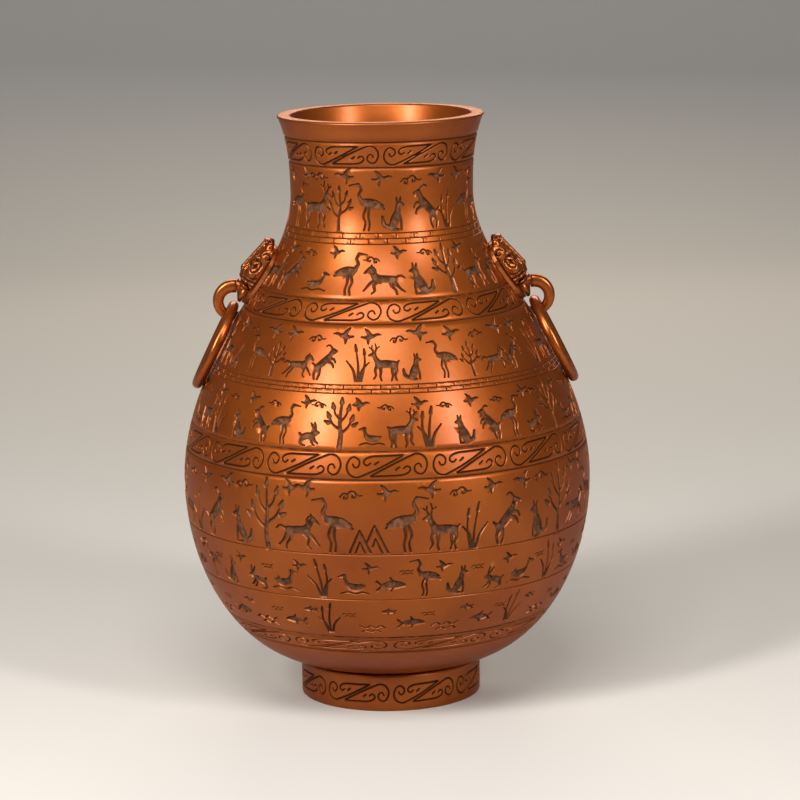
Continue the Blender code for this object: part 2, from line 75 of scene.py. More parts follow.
def copperMaterial(name, look):
    material = bpy.data.materials.new(name)
    tree, add = nodeMaker(material)
    link = tree.links.new
    shader = tree.nodes["Principled BSDF"]
    shader.inputs["Coat Roughness"].default_value = look["coatRough"]
    shader.inputs["Specular IOR Level"].default_value = 0.3
    shader.inputs["Specular Tint"].default_value = (*look["edgeTint"], 1.0)
    place = add("ShaderNodeTexCoord")
    cloudy = add("ShaderNodeTexNoise")
    cloudy.inputs["Scale"].default_value = look["mottleScale"]
    cloudy.inputs["Detail"].default_value = 4.0
    link(place.outputs["Object"], cloudy.inputs["Vector"])
    tint = ramp(add, [(0.30, look["dark"]), (0.72, look["light"])])
    link(cloudy.outputs["Fac"], tint.inputs["Fac"])

    # Hollows keep a dull brown film and edges are rubbed bright.
    surface = add("ShaderNodeNewGeometry")
    worn = ramp(add, [(look["hollow"][0], (0.0,) * 3), (look["hollow"][1], (1.0,) * 3)])
    link(surface.outputs["Pointiness"], worn.inputs["Fac"])
    film = add("ShaderNodeMix", data_type="RGBA")
    film.inputs["A"].default_value = (*look["film"], 1.0)
    link(worn.outputs["Color"], film.inputs["Factor"])
    link(tint.outputs["Color"], film.inputs["B"])
    rubbed = ramp(add, [(look["edge"][0], (0.0,) * 3), (look["edge"][1], (0.7,) * 3)])
    link(surface.outputs["Pointiness"], rubbed.inputs["Fac"])
    shine = add("ShaderNodeMix", data_type="RGBA")
    shine.inputs["B"].default_value = (*look["bright"], 1.0)
    link(rubbed.outputs["Color"], shine.inputs["Factor"])
    link(film.outputs["Result"], shine.inputs["A"])

    # The engraved floors are stippled, dull and brown, and darkened nearly to black along their walls as painted shade.
    grain = add("ShaderNodeTexNoise")
    grain.inputs["Scale"].default_value = look["grainScale"]
    grain.inputs["Detail"].default_value = 5.0
    link(place.outputs["Object"], grain.inputs["Vector"])
    stipple = ramp(add, [(0.38, look["floorDark"]), (0.60, look["floor"])])
    link(grain.outputs["Fac"], stipple.inputs["Fac"])
    sink = add("ShaderNodeAttribute", attribute_name="sink")
    tone = add("ShaderNodeAttribute", attribute_name="tone")
    floor = add("ShaderNodeMix", data_type="RGBA")
    floor.inputs["B"].default_value = (*look["groove"], 1.0)
    link(stipple.outputs["Color"], floor.inputs["A"])
    link(tone.outputs["Fac"], floor.inputs["Factor"])
    engraved = add("ShaderNodeMix", data_type="RGBA")
    link(sink.outputs["Fac"], engraved.inputs["Factor"])
    link(shine.outputs["Result"], engraved.inputs["A"])
    link(floor.outputs["Result"], engraved.inputs["B"])
    link(engraved.outputs["Result"], shader.inputs["Base Color"])

    coat = add("ShaderNodeMapRange")
    coat.inputs["To Min"].default_value = look["coat"]
    coat.inputs["To Max"].default_value = 0.0
    link(sink.outputs["Fac"], coat.inputs["Value"])
    link(coat.outputs["Result"], shader.inputs["Coat Weight"])
    rough = add("ShaderNodeMapRange")
    rough.inputs["To Min"].default_value = look["rough"][0]
    rough.inputs["To Max"].default_value = look["rough"][1]
    link(grain.outputs["Fac"], rough.inputs["Value"])
    dull = add("ShaderNodeMix", data_type="FLOAT")
    dull.inputs["B"].default_value = look["floorRough"]
    link(sink.outputs["Fac"], dull.inputs["Factor"])
    link(rough.outputs["Result"], dull.inputs["A"])
    link(dull.outputs["Result"], shader.inputs["Roughness"])

    metal = add("ShaderNodeMix", data_type="FLOAT")
    metal.inputs["A"].default_value = look["metallic"]
    metal.inputs["B"].default_value = look["floorMetal"]
    link(sink.outputs["Fac"], metal.inputs["Factor"])
    link(metal.outputs["Result"], shader.inputs["Metallic"])

    coarse = add("ShaderNodeMapRange")
    coarse.inputs["To Min"].default_value = look["bump"]
    coarse.inputs["To Max"].default_value = look["floorBump"]
    link(sink.outputs["Fac"], coarse.inputs["Value"])
    bump = add("ShaderNodeBump")
    bump.inputs["Distance"].default_value = 0.0004
    link(coarse.outputs["Result"], bump.inputs["Strength"])
    link(grain.outputs["Fac"], bump.inputs["Height"])
    link(bump.outputs["Normal"], shader.inputs["Normal"])
    return material


copperLook = {
    "metallic": 0.78, "mottleScale": 22.0, "grainScale": 420.0, "bump": 0.09, "floorBump": 0.55,
    "dark": (0.205, 0.043, 0.004), "light": (0.290, 0.070, 0.007), "film": (0.11, 0.022, 0.003),
    "bright": (0.46, 0.16, 0.045), "edge": (0.56, 0.68), "hollow": (0.40, 0.47),
    "floor": (0.125, 0.054, 0.030), "floorDark": (0.060, 0.024, 0.012), "groove": (0.012, 0.004, 0.002),
    "rough": (0.38, 0.48), "floorRough": 0.70, "floorMetal": 0.10,
    "coat": 0.30, "coatRough": 0.30, "edgeTint": (0.62, 0.36, 0.16),
}
bodyCopper = copperMaterial("engravedCopper", copperLook)
maskCopper = copperMaterial("castCopper", {
    **copperLook, "film": (0.045, 0.014, 0.006), "hollow": (0.40, 0.53), "rough": (0.24, 0.34),
    "floor": (0.07, 0.026, 0.013), "floorDark": (0.05, 0.018, 0.009), "edge": (0.53, 0.62),
})
ringCopper = copperMaterial("polishedCopper", {**copperLook, "rough": (0.22, 0.30), "bump": 0.05, "edge": (0.7, 0.9)})
print("stage: materials made")


# Vessel outline: the same stations and curves as the solid

vessel = {
    "stations": ((316.0, 55.2, 0.42), (274.0, 48.8, 0.0), (226.0, 67.5, -0.68), (120.0, 109.8, 0.0)),
    "underside": 40.0, "joint": 20.3, "collar": 46.5, "wall": 3.5, "lip": 6.7, "throat": 274.0,
    "spigot": 43.4, "spigotInside": 39.4, "spigotBottom": 14.0, "floorEdge": (42.0, 24.2),
}


def stationRadius(upper, lower, z):
    span = lower[0] - upper[0]
    t = (z - upper[0]) / span
    ends = (2 * t**3 - 3 * t**2 + 1) * upper[1] + (3 * t**2 - 2 * t**3) * lower[1]
    return ends + span * ((t**3 - 2 * t**2 + t) * upper[2] + (t**3 - t**2) * lower[2])


def wallRadius(z):
    stations = vessel["stations"]
    for upper, lower in zip(stations, stations[1:]):
        if z >= lower[0]:
            return stationRadius(upper, lower, z)
    bottom = stations[-1]
    drop = (bottom[0] - z) / (bottom[0] - vessel["joint"])
    swell = math.sqrt(max(0.0, 1 - drop * drop))
    return vessel["underside"] + (bottom[1] - vessel["underside"]) * swell


def wallNormal(z):
    slope = (wallRadius(z + 0.05) - wallRadius(z - 0.05)) / 0.1
    length = math.hypot(1.0, slope)
    return 1 / length, -slope / length


def offsetPoint(z, distance):
    radial, upward = wallNormal(z)
    return wallRadius(z) + distance * radial, z + distance * upward


def innerPoint(z):
    if z < vessel["throat"]:
        return offsetPoint(z, -vessel["wall"])
    t = (z - vessel["throat"]) / (vessel["stations"][0][0] - vessel["throat"])
    return wallRadius(z) - vessel["wall"] - (vessel["lip"] - vessel["wall"]) * t * t * (3 - 2 * t), z


def stretch(low, high, count):
    return [low + (high - low) * n / (count - 1) for n in range(count)]


# Engraving: every mark is a stroke of round dabs (across, up, radius) in millimetres on the unrolled wall.
# The wall is cut into triangles along the edges of the strokes and the marks are then sunk into it.

edge = {"soft": 0.28, "rim": 0.5, "step": 1.0, "grid": 3.2, "columns": 216}


def smoothStroke(points, step):
    points = np.array(points, float)
    if len(points) < 3:
        ends = points
    else:
        ends = []
        padded = np.vstack([2 * points[0] - points[1], points, 2 * points[-1] - points[-2]])
        for a, b, c, d in zip(padded, padded[1:], padded[2:], padded[3:]):
            count = max(2, int(np.linalg.norm((c - b)[:2]) / step))
            for t in np.linspace(0, 1, count, endpoint=False):
                ends.append(0.5 * ((2 * b) + (c - a) * t + (2 * a - 5 * b + 4 * c - d) * t * t
                                   + (3 * b - a - 3 * c + d) * t**3))
        ends.append(points[-1])
        ends = np.array(ends)
    long = np.linalg.norm(np.diff(ends[:, :2], axis=0), axis=1)
    total = long.sum()
    count = max(2, int(total / step) + 1)
    along = np.concatenate([[0], np.cumsum(long)])
    want = np.linspace(0, total, count)
    made = np.stack([np.interp(want, along, ends[:, n]) for n in range(3)], axis=1)
    made[:, 2] = np.maximum(made[:, 2], 0.22)
    return made


class Field:
    def __init__(self, strokes, cell=5.0):
        self.cell = cell
        self.table = {}
        rows = []
        for stroke in strokes:
            dabs = stroke["dabs"]
            for a, b in zip(dabs, dabs[1:]):
                rows.append((*a, *b, stroke["deep"], stroke["tone"]))
        self.rows = np.array(rows) if rows else np.zeros((0, 8))
        for number, row in enumerate(self.rows):
            reach = max(row[2], row[5]) + 1.2
            left, right = min(row[0], row[3]) - reach, max(row[0], row[3]) + reach
            low, high = min(row[1], row[4]) - reach, max(row[1], row[4]) + reach
            for i in range(int(left // cell), int(right // cell) + 1):
                for j in range(int(low // cell), int(high // cell) + 1):
                    self.table.setdefault((i, j), []).append(number)

    def at(self, points):
        points = np.asarray(points, float)
        near = np.full(len(points), 9.0)
        deep = np.zeros(len(points))
        tone = np.zeros(len(points))
        sunk = np.zeros(len(points))
        keys = np.floor(points / self.cell).astype(int)
        order = np.lexsort((keys[:, 1], keys[:, 0]))
        ordered = keys[order]
        cuts = np.nonzero(np.any(np.diff(ordered, axis=0) != 0, axis=1))[0] + 1
        for group in np.split(order, cuts):
            marks = self.table.get(tuple(keys[group[0]]))
            if not marks:
                continue
            rows = self.rows[marks]
            spots = points[group][:, None, :]
            start, end = rows[:, 0:2], rows[:, 3:5]
            run = end - start
            length = np.maximum((run * run).sum(1), 1e-9)
            t = np.clip(((spots - start) * run).sum(2) / length, 0, 1)
            away = np.linalg.norm(spots - (start + t[..., None] * run), axis=2)
            radius = rows[:, 2] + t * (rows[:, 5] - rows[:, 2])
            distance = away - radius
            soft = np.minimum(edge["soft"], radius * 0.55)
            share = np.clip(0.5 - distance / (2 * soft), 0, 1)
            share = share * share * (3 - 2 * share)
            near[group] = distance.min(1)
            depths = share * rows[:, 6]
            best = depths.argmax(1)
            pick = np.arange(len(group))
            deep[group] = depths[pick, best]
            shadow = np.clip(1 + (distance[pick, best] + soft[pick, best]) / edge["rim"], 0, 1)
            # Painted shade: the rim of a mark is darkened towards its walls, darkest under its upper edge and lightest
            # along its lower edge, as light from above would fall.
            foot = start + t[..., None] * run
            above = (spots - foot)[pick, best, 1] / np.maximum(away[pick, best], 1e-6)
            tone[group] = np.maximum(rows[best, 7], shadow * np.clip(0.65 + 0.6 * above, 0.15, 1))
            sunk[group] = share[pick, best]
        return near, deep, tone, sunk


def strokeRings(dabs):
    # Points along both edges of a stroke: on the surface, on the floor and, in wide marks, a little further in.
    run = np.gradient(dabs[:, :2], axis=0)
    run /= np.maximum(np.linalg.norm(run, axis=1), 1e-9)[:, None]
    side = np.stack([-run[:, 1], run[:, 0]], axis=1)
    soft = np.minimum(edge["soft"], dabs[:, 2] * 0.55)
    levels = [soft, -soft]
    if dabs[:, 2].max() > 1.0:
        levels.append(-soft - edge["rim"])
    for level in levels:
        radius = np.maximum(dabs[:, 2] + level, 0.02)
        left = dabs[:, :2] + side * radius[:, None]
        right = dabs[:, :2] - side * radius[:, None]
        caps = []
        for n, turn in ((-1, 1.0), (0, -1.0)):
            angles = np.radians([60, 20, -20, -60]) * turn
            along = run[n] * turn
            caps.append([dabs[n, :2] + radius[n] * (along * math.cos(a) + side[n] * math.sin(a)) for a in angles])
        ring = np.vstack([left, caps[0], right[::-1], caps[1]])
        wanted = np.concatenate([level, [level[-1]] * 4, level[::-1], [level[0]] * 4])
        yield ring, wanted


def drawAlong(bm, places):
    bmesh.ops.transform(bm, matrix=places[0], verts=bm.verts)
    rim = bm.edges[:]
    for before, place in zip(places, places[1:]):
        grown = bmesh.ops.extrude_edge_only(bm, edges=rim)["geom"]
        rim = [part for part in grown if isinstance(part, bmesh.types.BMEdge) and part.is_boundary]
        verts = [part for part in grown if isinstance(part, bmesh.types.BMVert)]
        bmesh.ops.transform(bm, matrix=place @ before.inverted(), verts=verts)
    return rim


def engrave(name, outline, closing, strokes, lines):
    outline = np.array(outline, float)
    runs = np.concatenate([[0], np.cumsum(np.linalg.norm(np.diff(outline, axis=0), axis=1))])
    tall = runs[-1]
    meanRadius = outline[:, 0].mean()
    half = math.pi * meanRadius
    for stroke in strokes:
        stroke["dabs"] = smoothStroke(stroke["points"], stroke.get("step", edge["step"]))
    # A stroke that crosses the back seam is repeated at the other end.
    repeats = []
    for side in (-1, 1):
        over = [stroke for stroke in strokes if np.max(side * stroke["dabs"][:, 0]) > half - 4]
        repeats += [{**stroke, "dabs": stroke["dabs"] - [2 * half * side, 0, 0]} for stroke in over]
    strokes = strokes + repeats
    field = Field(strokes)

    points, joins = [], []

    def addRow(v):
        first = len(points)
        points.extend((u, v) for u in np.linspace(-half, half, edge["columns"] + 1))
        joins.extend((first + n, first + n + 1) for n in range(edge["columns"]))

    addRow(0.0)
    addRow(tall)
    for line in lines:
        for share in (-1.0, -0.45, 0.0, 0.45, 1.0):
            v = line["v"] + share * line["wide"]
            if 0.01 < v < tall - 0.01:
                addRow(v)
    # Both ends of the unrolled wall get the same points, so that they join at the back.
    for v in np.linspace(0, tall, int(tall / 2.2))[1:-1]:
        if all(abs(v - line["v"]) > line["wide"] + 0.3 for line in lines):
            points.extend([(-half, v), (half, v)])
    for u in (-half, half):
        ends = sorted((point[1], n) for n, point in enumerate(points) if point[0] == u)
        joins.extend((low[1], high[1]) for low, high in zip(ends, ends[1:]))
    rings = []
    for stroke in strokes:
        rings.extend(strokeRings(stroke["dabs"]))
    if rings:
        every = np.vstack([ring for ring, _ in rings])
        wanted = np.concatenate([want for _, want in rings])
        near = field.at(every)[0]
        keep = np.abs(near - wanted) < 0.07
        keep &= (every[:, 1] > 0.3) & (every[:, 1] < tall - 0.3) & (np.abs(every[:, 0]) < half - 0.3)
        start = 0
        for ring, _ in rings:
            stop = start + len(ring)
            index = {}
            for n in range(start, stop):
                if keep[n]:
                    index[n] = len(points)
                    points.append(tuple(every[n]))
            for n in range(start, stop):
                after = n + 1 if n + 1 < stop else start
                if n in index and after in index:
                    joins.append((index[n], index[after]))
            start = stop
    grid = []
    rowCount = max(2, int(tall / (edge["grid"] * 0.87)))
    for j in range(1, rowCount):
        v = tall * j / rowCount
        if any(abs(v - line["v"]) < line["wide"] + 0.6 for line in lines):
            continue
        count = int(2 * half / edge["grid"])
        shift = 0.5 * (j % 2)
        grid.extend((-half + 2 * half * (n + 0.25 + shift) / count, v) for n in range(count))
    if grid:
        grid = np.array(grid)
        near = field.at(grid)[0]
        points.extend(map(tuple, grid[np.abs(near) > 0.8]))
    flat = [Vector(point) for point in points]
    verts, _, faces, _, _, _ = delaunay_2d_cdt(flat, joins, [], 0, 3e-3)
    flatVerts = np.array([tuple(v) for v in verts])
    _, deep, tone, sunk = field.at(flatVerts)
    sink = np.clip((sunk - 0.3) / 0.5, 0, 1)
    for line in lines:
        share = np.clip(1 - np.abs(flatVerts[:, 1] - line["v"]) / line["wide"], 0, 1)
        share = share * share * (3 - 2 * share)
        deeper = share * line["deep"] > deep
        deep = np.maximum(deep, share * line["deep"])
        sink = np.maximum(sink, np.clip((share - 0.4) / 0.4, 0, 1))
        tone = np.where(deeper, 1.0, tone)

    radius = np.interp(flatVerts[:, 1], runs, outline[:, 0])
    height = np.interp(flatVerts[:, 1], runs, outline[:, 1])
    tangent = np.gradient(outline, axis=0)
    tangent /= np.linalg.norm(tangent, axis=1)[:, None]
    normalR = np.interp(flatVerts[:, 1], runs, tangent[:, 1])
    normalZ = np.interp(flatVerts[:, 1], runs, -tangent[:, 0])
    radius = (radius - deep * normalR) * mm
    height = (height - deep * normalZ) * mm
    angle = flatVerts[:, 0] / meanRadius
    spots = np.stack([radius * np.sin(angle), -radius * np.cos(angle), height], axis=1)

    # The lip and the inside are one circle drawn from the top row to the bottom row, welded to the engraved sheet.
    top, base = flatVerts[:, 1].argmax(), flatVerts[:, 1].argmin()
    inside = [(ring * mm, z * mm) for ring, z in closing]
    turned = [(radius[top], height[top])] + inside + [(radius[base], height[base])]
    bm = bmesh.new()
    sinkLayer = bm.verts.layers.float.new("sink")
    # The tone layer carries the painted shade along the walls of the marks, and the dark of the line grooves, to the
    # material.
    toneLayer = bm.verts.layers.float.new("tone")
    bmesh.ops.create_circle(bm, segments=edge["columns"], radius=1.0)
    drawAlong(bm, [Matrix.Translation((0, 0, z)) @ Matrix.Diagonal((ring, ring, 1, 1)) for ring, z in turned])
    made = []
    for spot, s, t in zip(spots, sink, tone):
        vert = bm.verts.new(spot)
        vert[sinkLayer] = s
        vert[toneLayer] = t
        made.append(vert)
    for face in faces:
        if len(set(face)) == len(face):
            bm.faces.new([made[n] for n in face])
    bmesh.ops.remove_doubles(bm, verts=bm.verts, dist=2e-6)
    bmesh.ops.recalc_face_normals(bm, faces=bm.faces)
    return keepPiece(name, bm, bodyCopper, "vessel", 40)


def keepPiece(name, bm, material, body, sharp):
    mesh = bpy.data.meshes.new(name)
    bm.to_mesh(mesh)
    bm.free()
    mesh.shade_smooth()
    mesh.set_sharp_from_angle(angle=math.radians(sharp))
    mesh.materials.append(material)
    obj = bpy.data.objects.new(name, mesh)
    bpy.context.scene.collection.objects.link(obj)
    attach(obj, body)
    print(f"piece {name}: {len(mesh.polygons)} faces")
    return obj


# Motifs, each a few strokes on a field about ten units high

motifs = {
    "deer": [
        [(2.2, 5.0, 1.0), (4.5, 5.2, 1.15), (6.8, 5.2, 1.05)], [(6.9, 5.6, 0.85), (7.8, 7.0, 0.6), (8.3, 8.2, 0.5)],
        [(8.2, 8.4, 0.55), (9.3, 8.1, 0.35), (9.8, 7.9, 0.22)], [(1.4, 5.5, 0.3), (0.9, 6.1, 0.2)],
        [(2.0, 4.7, 0.6), (1.7, 3.0, 0.36), (2.2, 1.6, 0.26), (1.8, 0.1, 0.22)],
        [(2.6, 4.6, 0.55), (3.0, 2.8, 0.34), (2.8, 1.5, 0.25), (3.2, 0.1, 0.22)],
        [(6.4, 4.7, 0.5), (6.2, 2.6, 0.32), (6.4, 1.3, 0.24), (6.0, 0.1, 0.2)],
        [(7.2, 4.7, 0.5), (7.9, 3.2, 0.32), (7.5, 1.8, 0.24), (8.2, 0.6, 0.2)],
        [(8.0, 8.8, 0.2), (7.6, 10.2, 0.18), (8.0, 11.6, 0.14)], [(7.7, 9.9, 0.16), (6.7, 10.7, 0.14)],
        [(8.4, 8.8, 0.2), (9.0, 10.0, 0.16), (8.9, 11.0, 0.13)], [(8.9, 9.8, 0.15), (9.8, 10.5, 0.13)],
    ],
    "horse": [
        [(2.4, 4.8, 0.95), (4.6, 4.9, 1.0), (6.8, 5.1, 1.0)], [(7.2, 5.6, 0.85), (8.2, 7.0, 0.6), (8.7, 7.9, 0.5)],
        [(8.7, 8.0, 0.5), (9.7, 7.2, 0.34), (10.2, 6.7, 0.26)], [(8.5, 8.3, 0.2), (8.3, 9.0, 0.14)],
        [(7.0, 4.6, 0.5), (8.6, 3.6, 0.32), (9.6, 2.2, 0.22), (10.2, 1.4, 0.2)],
        [(6.6, 4.4, 0.5), (7.6, 2.8, 0.3), (7.2, 1.5, 0.22), (8.0, 0.6, 0.2)],
        [(2.4, 4.5, 0.6), (1.4, 3.0, 0.36), (0.5, 1.8, 0.24), (-0.4, 1.0, 0.2)],
        [(3.0, 4.3, 0.55), (2.8, 2.7, 0.34), (1.8, 1.5, 0.24), (1.6, 0.2, 0.2)],
        [(1.5, 5.3, 0.3), (0.2, 5.8, 0.28), (-0.9, 5.0, 0.14)], [(7.3, 6.7, 0.3), (7.3, 7.7, 0.2), (7.9, 8.4, 0.2)],
    ],
    "hare": [
        [(2.2, 3.4, 1.1), (4.0, 4.1, 1.2), (5.8, 4.2, 1.0)], [(6.2, 5.0, 0.8), (7.4, 5.6, 0.75), (8.3, 5.4, 0.4)],
        [(6.7, 6.2, 0.32), (5.6, 8.0, 0.36), (5.0, 9.0, 0.2)], [(7.2, 6.4, 0.3), (6.8, 8.4, 0.34), (6.5, 9.4, 0.2)],
        [(2.0, 2.9, 0.8), (1.0, 1.3, 0.4), (2.2, 0.4, 0.34), (3.2, 0.3, 0.26)], [(1.2, 4.2, 0.45), (0.6, 4.8, 0.4)],
        [(6.2, 3.5, 0.55), (7.4, 1.9, 0.34), (8.4, 1.3, 0.26)], [(5.4, 3.4, 0.5), (5.9, 1.6, 0.32), (6.9, 0.5, 0.26)],
    ],
    "crane": [
        [(3.2, 5.4, 0.5), (4.6, 5.9, 1.0), (6.0, 6.1, 0.7)], [(1.4, 4.6, 0.25), (2.6, 5.2, 0.6), (3.6, 5.5, 0.8)],
        [(6.1, 6.3, 0.45), (6.9, 7.6, 0.3), (6.3, 8.8, 0.28), (6.9, 9.8, 0.34)],
        [(6.9, 9.9, 0.36), (7.7, 9.9, 0.2), (9.0, 9.7, 0.12)],
        [(4.6, 5.0, 0.3), (4.8, 3.0, 0.2), (4.5, 1.5, 0.18), (4.7, 0.1, 0.18)],
        [(5.2, 5.0, 0.3), (5.9, 3.2, 0.2), (5.4, 1.7, 0.18), (5.7, 0.1, 0.18)],
        [(1.6, 5.3, 0.22), (3.0, 6.0, 0.5), (4.4, 6.3, 0.6)],
    ],
    "flight": [
        [(1.8, 4.3, 0.6), (4.0, 4.9, 1.2), (6.2, 5.3, 1.0)], [(6.2, 5.4, 0.8), (7.8, 6.0, 0.6), (8.9, 6.3, 0.65)],
        [(9.2, 6.3, 0.45), (10.8, 6.1, 0.25)], [(4.8, 5.2, 1.1), (3.6, 7.4, 1.0), (1.6, 9.4, 0.35)],
        [(4.4, 4.8, 0.9), (3.6, 2.8, 0.8), (3.8, 0.9, 0.3)], [(2.0, 4.4, 0.5), (-0.2, 4.8, 0.45)],
    ],
    "fish": [
        [(2.6, 4.4, 0.5), (4.4, 4.8, 1.3), (6.8, 5.0, 1.5), (9.0, 4.9, 1.0), (10.2, 4.7, 0.5)],
        [(2.6, 4.4, 0.4), (0.8, 6.2, 0.4)], [(2.6, 4.4, 0.4), (0.9, 2.8, 0.4)],
        [(6.2, 6.2, 0.4), (5.4, 7.6, 0.25)], [(6.4, 3.6, 0.36), (5.6, 2.4, 0.25)],
    ],
    "tree": [
        [(5.0, 0.0, 0.5), (4.8, 3.0, 0.38), (5.2, 6.0, 0.3), (5.0, 10.4, 0.2)],
        [(4.9, 3.2, 0.26), (3.2, 4.8, 0.2), (2.4, 6.4, 0.16)], [(5.0, 4.2, 0.26), (6.8, 5.4, 0.2), (7.8, 7.0, 0.16)],
        [(5.1, 6.0, 0.22), (3.9, 7.4, 0.18), (3.4, 8.8, 0.14)], [(5.1, 6.6, 0.22), (6.4, 7.8, 0.16), (6.8, 9.2, 0.14)],
        [(2.3, 6.7, 0.5), (2.0, 7.7, 0.2)], [(1.8, 5.3, 0.46), (1.0, 5.9, 0.2)], [(3.2, 9.1, 0.5), (3.0, 10.2, 0.2)],
        [(7.9, 7.3, 0.5), (8.4, 8.3, 0.2)], [(8.0, 5.8, 0.46), (8.9, 6.2, 0.2)], [(7.0, 9.5, 0.5), (7.3, 10.5, 0.2)],
        [(5.0, 10.7, 0.5), (5.0, 11.8, 0.2)],
    ],
    "reeds": [
        [(4.0, 0.0, 0.3), (4.1, 4.0, 0.24), (4.9, 8.5, 0.16)], [(4.6, 0.0, 0.3), (5.4, 3.0, 0.26), (7.4, 5.6, 0.14)],
        [(3.6, 0.0, 0.3), (3.0, 3.0, 0.24), (1.2, 5.2, 0.14)], [(4.9, 8.5, 0.4), (5.3, 10.2, 0.24)],
        [(3.2, 0.0, 0.3), (2.4, 4.6, 0.22), (2.6, 7.6, 0.16)], [(2.6, 7.6, 0.38), (2.8, 9.0, 0.22)],
    ],
    "hills": [
        [(0.0, 0.0, 0.24), (2.6, 5.6, 0.24)], [(2.6, 5.6, 0.24), (5.2, 0.0, 0.24)],
        [(1.4, 0.0, 0.2), (2.6, 2.8, 0.2)], [(2.6, 2.8, 0.2), (3.8, 0.0, 0.2)],
        [(4.2, 2.6, 0.24), (6.2, 6.8, 0.24)], [(6.2, 6.8, 0.24), (9.4, 0.0, 0.24)],
        [(5.6, 1.6, 0.2), (6.4, 3.6, 0.2)], [(6.4, 3.6, 0.2), (8.0, 0.0, 0.2)],
    ],
    "fox": [
        [(3.6, 0.9, 0.9), (4.4, 2.8, 1.2), (5.2, 5.0, 0.8)], [(5.2, 5.4, 0.6), (5.6, 6.8, 0.75), (6.8, 6.6, 0.3)],
        [(5.2, 7.4, 0.28), (4.9, 8.6, 0.16)], [(5.9, 7.5, 0.28), (6.0, 8.7, 0.16)],
        [(5.4, 4.6, 0.42), (6.0, 2.4, 0.3), (6.0, 0.2, 0.26)], [(4.2, 0.3, 0.4), (5.2, 0.2, 0.3)],
        [(3.0, 0.8, 0.5), (1.6, 1.6, 0.55), (1.2, 3.6, 0.3)],
    ],
    "goat": [
        [(2.6, 3.4, 0.85), (4.0, 4.8, 0.95), (5.4, 6.4, 0.85)], [(5.8, 7.0, 0.6), (6.4, 8.4, 0.5)],
        [(6.4, 8.6, 0.5), (7.6, 8.2, 0.28)], [(6.1, 9.2, 0.2), (5.2, 10.0, 0.2), (4.4, 9.6, 0.16)],
        [(2.6, 3.0, 0.55), (2.0, 1.6, 0.32), (2.4, 0.1, 0.24)], [(3.3, 3.2, 0.5), (3.6, 1.6, 0.3), (3.2, 0.1, 0.24)],
        [(5.6, 6.0, 0.4), (7.0, 6.0, 0.28), (7.6, 5.0, 0.2)], [(5.2, 5.4, 0.4), (6.8, 4.6, 0.28), (7.2, 3.6, 0.2)],
        [(1.9, 4.0, 0.28), (1.2, 4.6, 0.2)],
    ],
    "duck": [
        [(1.6, 4.0, 0.35), (3.4, 3.4, 1.1), (5.4, 3.6, 1.1), (6.6, 4.4, 0.7)],
        [(6.6, 4.6, 0.5), (7.3, 6.2, 0.42), (7.4, 7.2, 0.6)], [(7.6, 7.2, 0.4), (9.2, 6.8, 0.22)],
        [(0.2, 1.2, 0.2), (2.2, 1.8, 0.26), (4.4, 1.2, 0.24), (6.6, 1.8, 0.26), (9.0, 1.2, 0.2)],
    ],
    "wave": [
        [(-1.0, 2.6, 0.24), (1.0, 4.0, 0.32), (3.0, 2.8, 0.28), (5.0, 4.0, 0.32), (7.0, 2.8, 0.28), (9.4, 4.0, 0.26)],
        [(1.0, 0.6, 0.24), (3.0, 1.8, 0.3), (5.0, 0.7, 0.28), (7.0, 1.8, 0.3), (9.0, 0.7, 0.24)],
    ],
    "cloud": [
        [(-0.4, 2.8, 0.3), (1.4, 4.6, 0.42), (3.3, 3.8, 0.42), (3.1, 1.8, 0.4), (1.5, 1.9, 0.36), (1.8, 3.1, 0.3)],
        [(3.3, 3.8, 0.4), (5.2, 5.8, 0.42), (7.4, 5.0, 0.42), (7.6, 2.8, 0.4), (5.9, 2.5, 0.36), (5.9, 3.7, 0.3)],
        [(7.4, 4.8, 0.4), (9.0, 3.4, 0.36), (10.8, 3.8, 0.28)],
    ],
}


def motif(name, u, v, tall, meanRadius, localRadius, flip=False, deep=0.80, tone=0.0):
    scale = tall / 10.0
    squeeze = meanRadius / localRadius
    made = []
    for stroke in motifs[name]:
        points = []
        for x, y, r in stroke:
            across = (x - 5.0) * (-1 if flip else 1)
            points.append((u + across * scale * squeeze, v + y * scale, r * scale))
        made.append({"points": points, "deep": deep, "tone": tone})
    return made


def touches(field, strokes, gap):
    for stroke in strokes:
        dabs = smoothStroke(stroke["points"], edge["step"])
        if np.any(field.at(dabs[:, :2])[0] - dabs[:, 2] < gap):
            return True
    return False


def fieldOf(strokes):
    return Field([{**stroke, "dabs": smoothStroke(stroke["points"], edge["step"])} for stroke in strokes])


def row(outline, v, tall, names, count, small, smallRise, gap=0.7):
    # Evenly spaced motifs that stand on one ground line, with small ones in the free places over them.
    outline = np.array(outline)
    runs = np.concatenate([[0], np.cumsum(np.linalg.norm(np.diff(outline, axis=0), axis=1))])
    meanRadius = outline[:, 0].mean()
    localRadius = float(np.interp(v + tall * 0.4, runs, outline[:, 0]))
    half = math.pi * meanRadius
    pitch = 2 * half / count
    made, last = [], []
    for n in range(count):
        name, flip, share = names[n % len(names)]
        u = -half + pitch * (n + 0.5)
        beside = fieldOf(last)
        for shrink in (1.0, 0.95, 0.9, 0.85, 0.8, 0.75):
            new = motif(name, u, v, tall * share * shrink, meanRadius, localRadius, flip)
            if not touches(beside, new, gap):
                break
        made += new
        last = new
    taken = fieldOf(made)
    for n in range(count - 1):
        name, flip, size = small[n % len(small)]
        for across, up in ((0.5, 0.0), (0.35, 0.02), (0.65, 0.02), (0.2, 0.04), (0.8, 0.04), (0.5, -0.08), (0.35, -0.10),
                           (0.65, -0.10)):
            u = -half + pitch * (n + 0.5 + across)
            new = motif(name, u, v + tall * (smallRise + up), tall * size, meanRadius, localRadius, flip)
            if not touches(taken, new, gap):
                made += new
                break
    return made


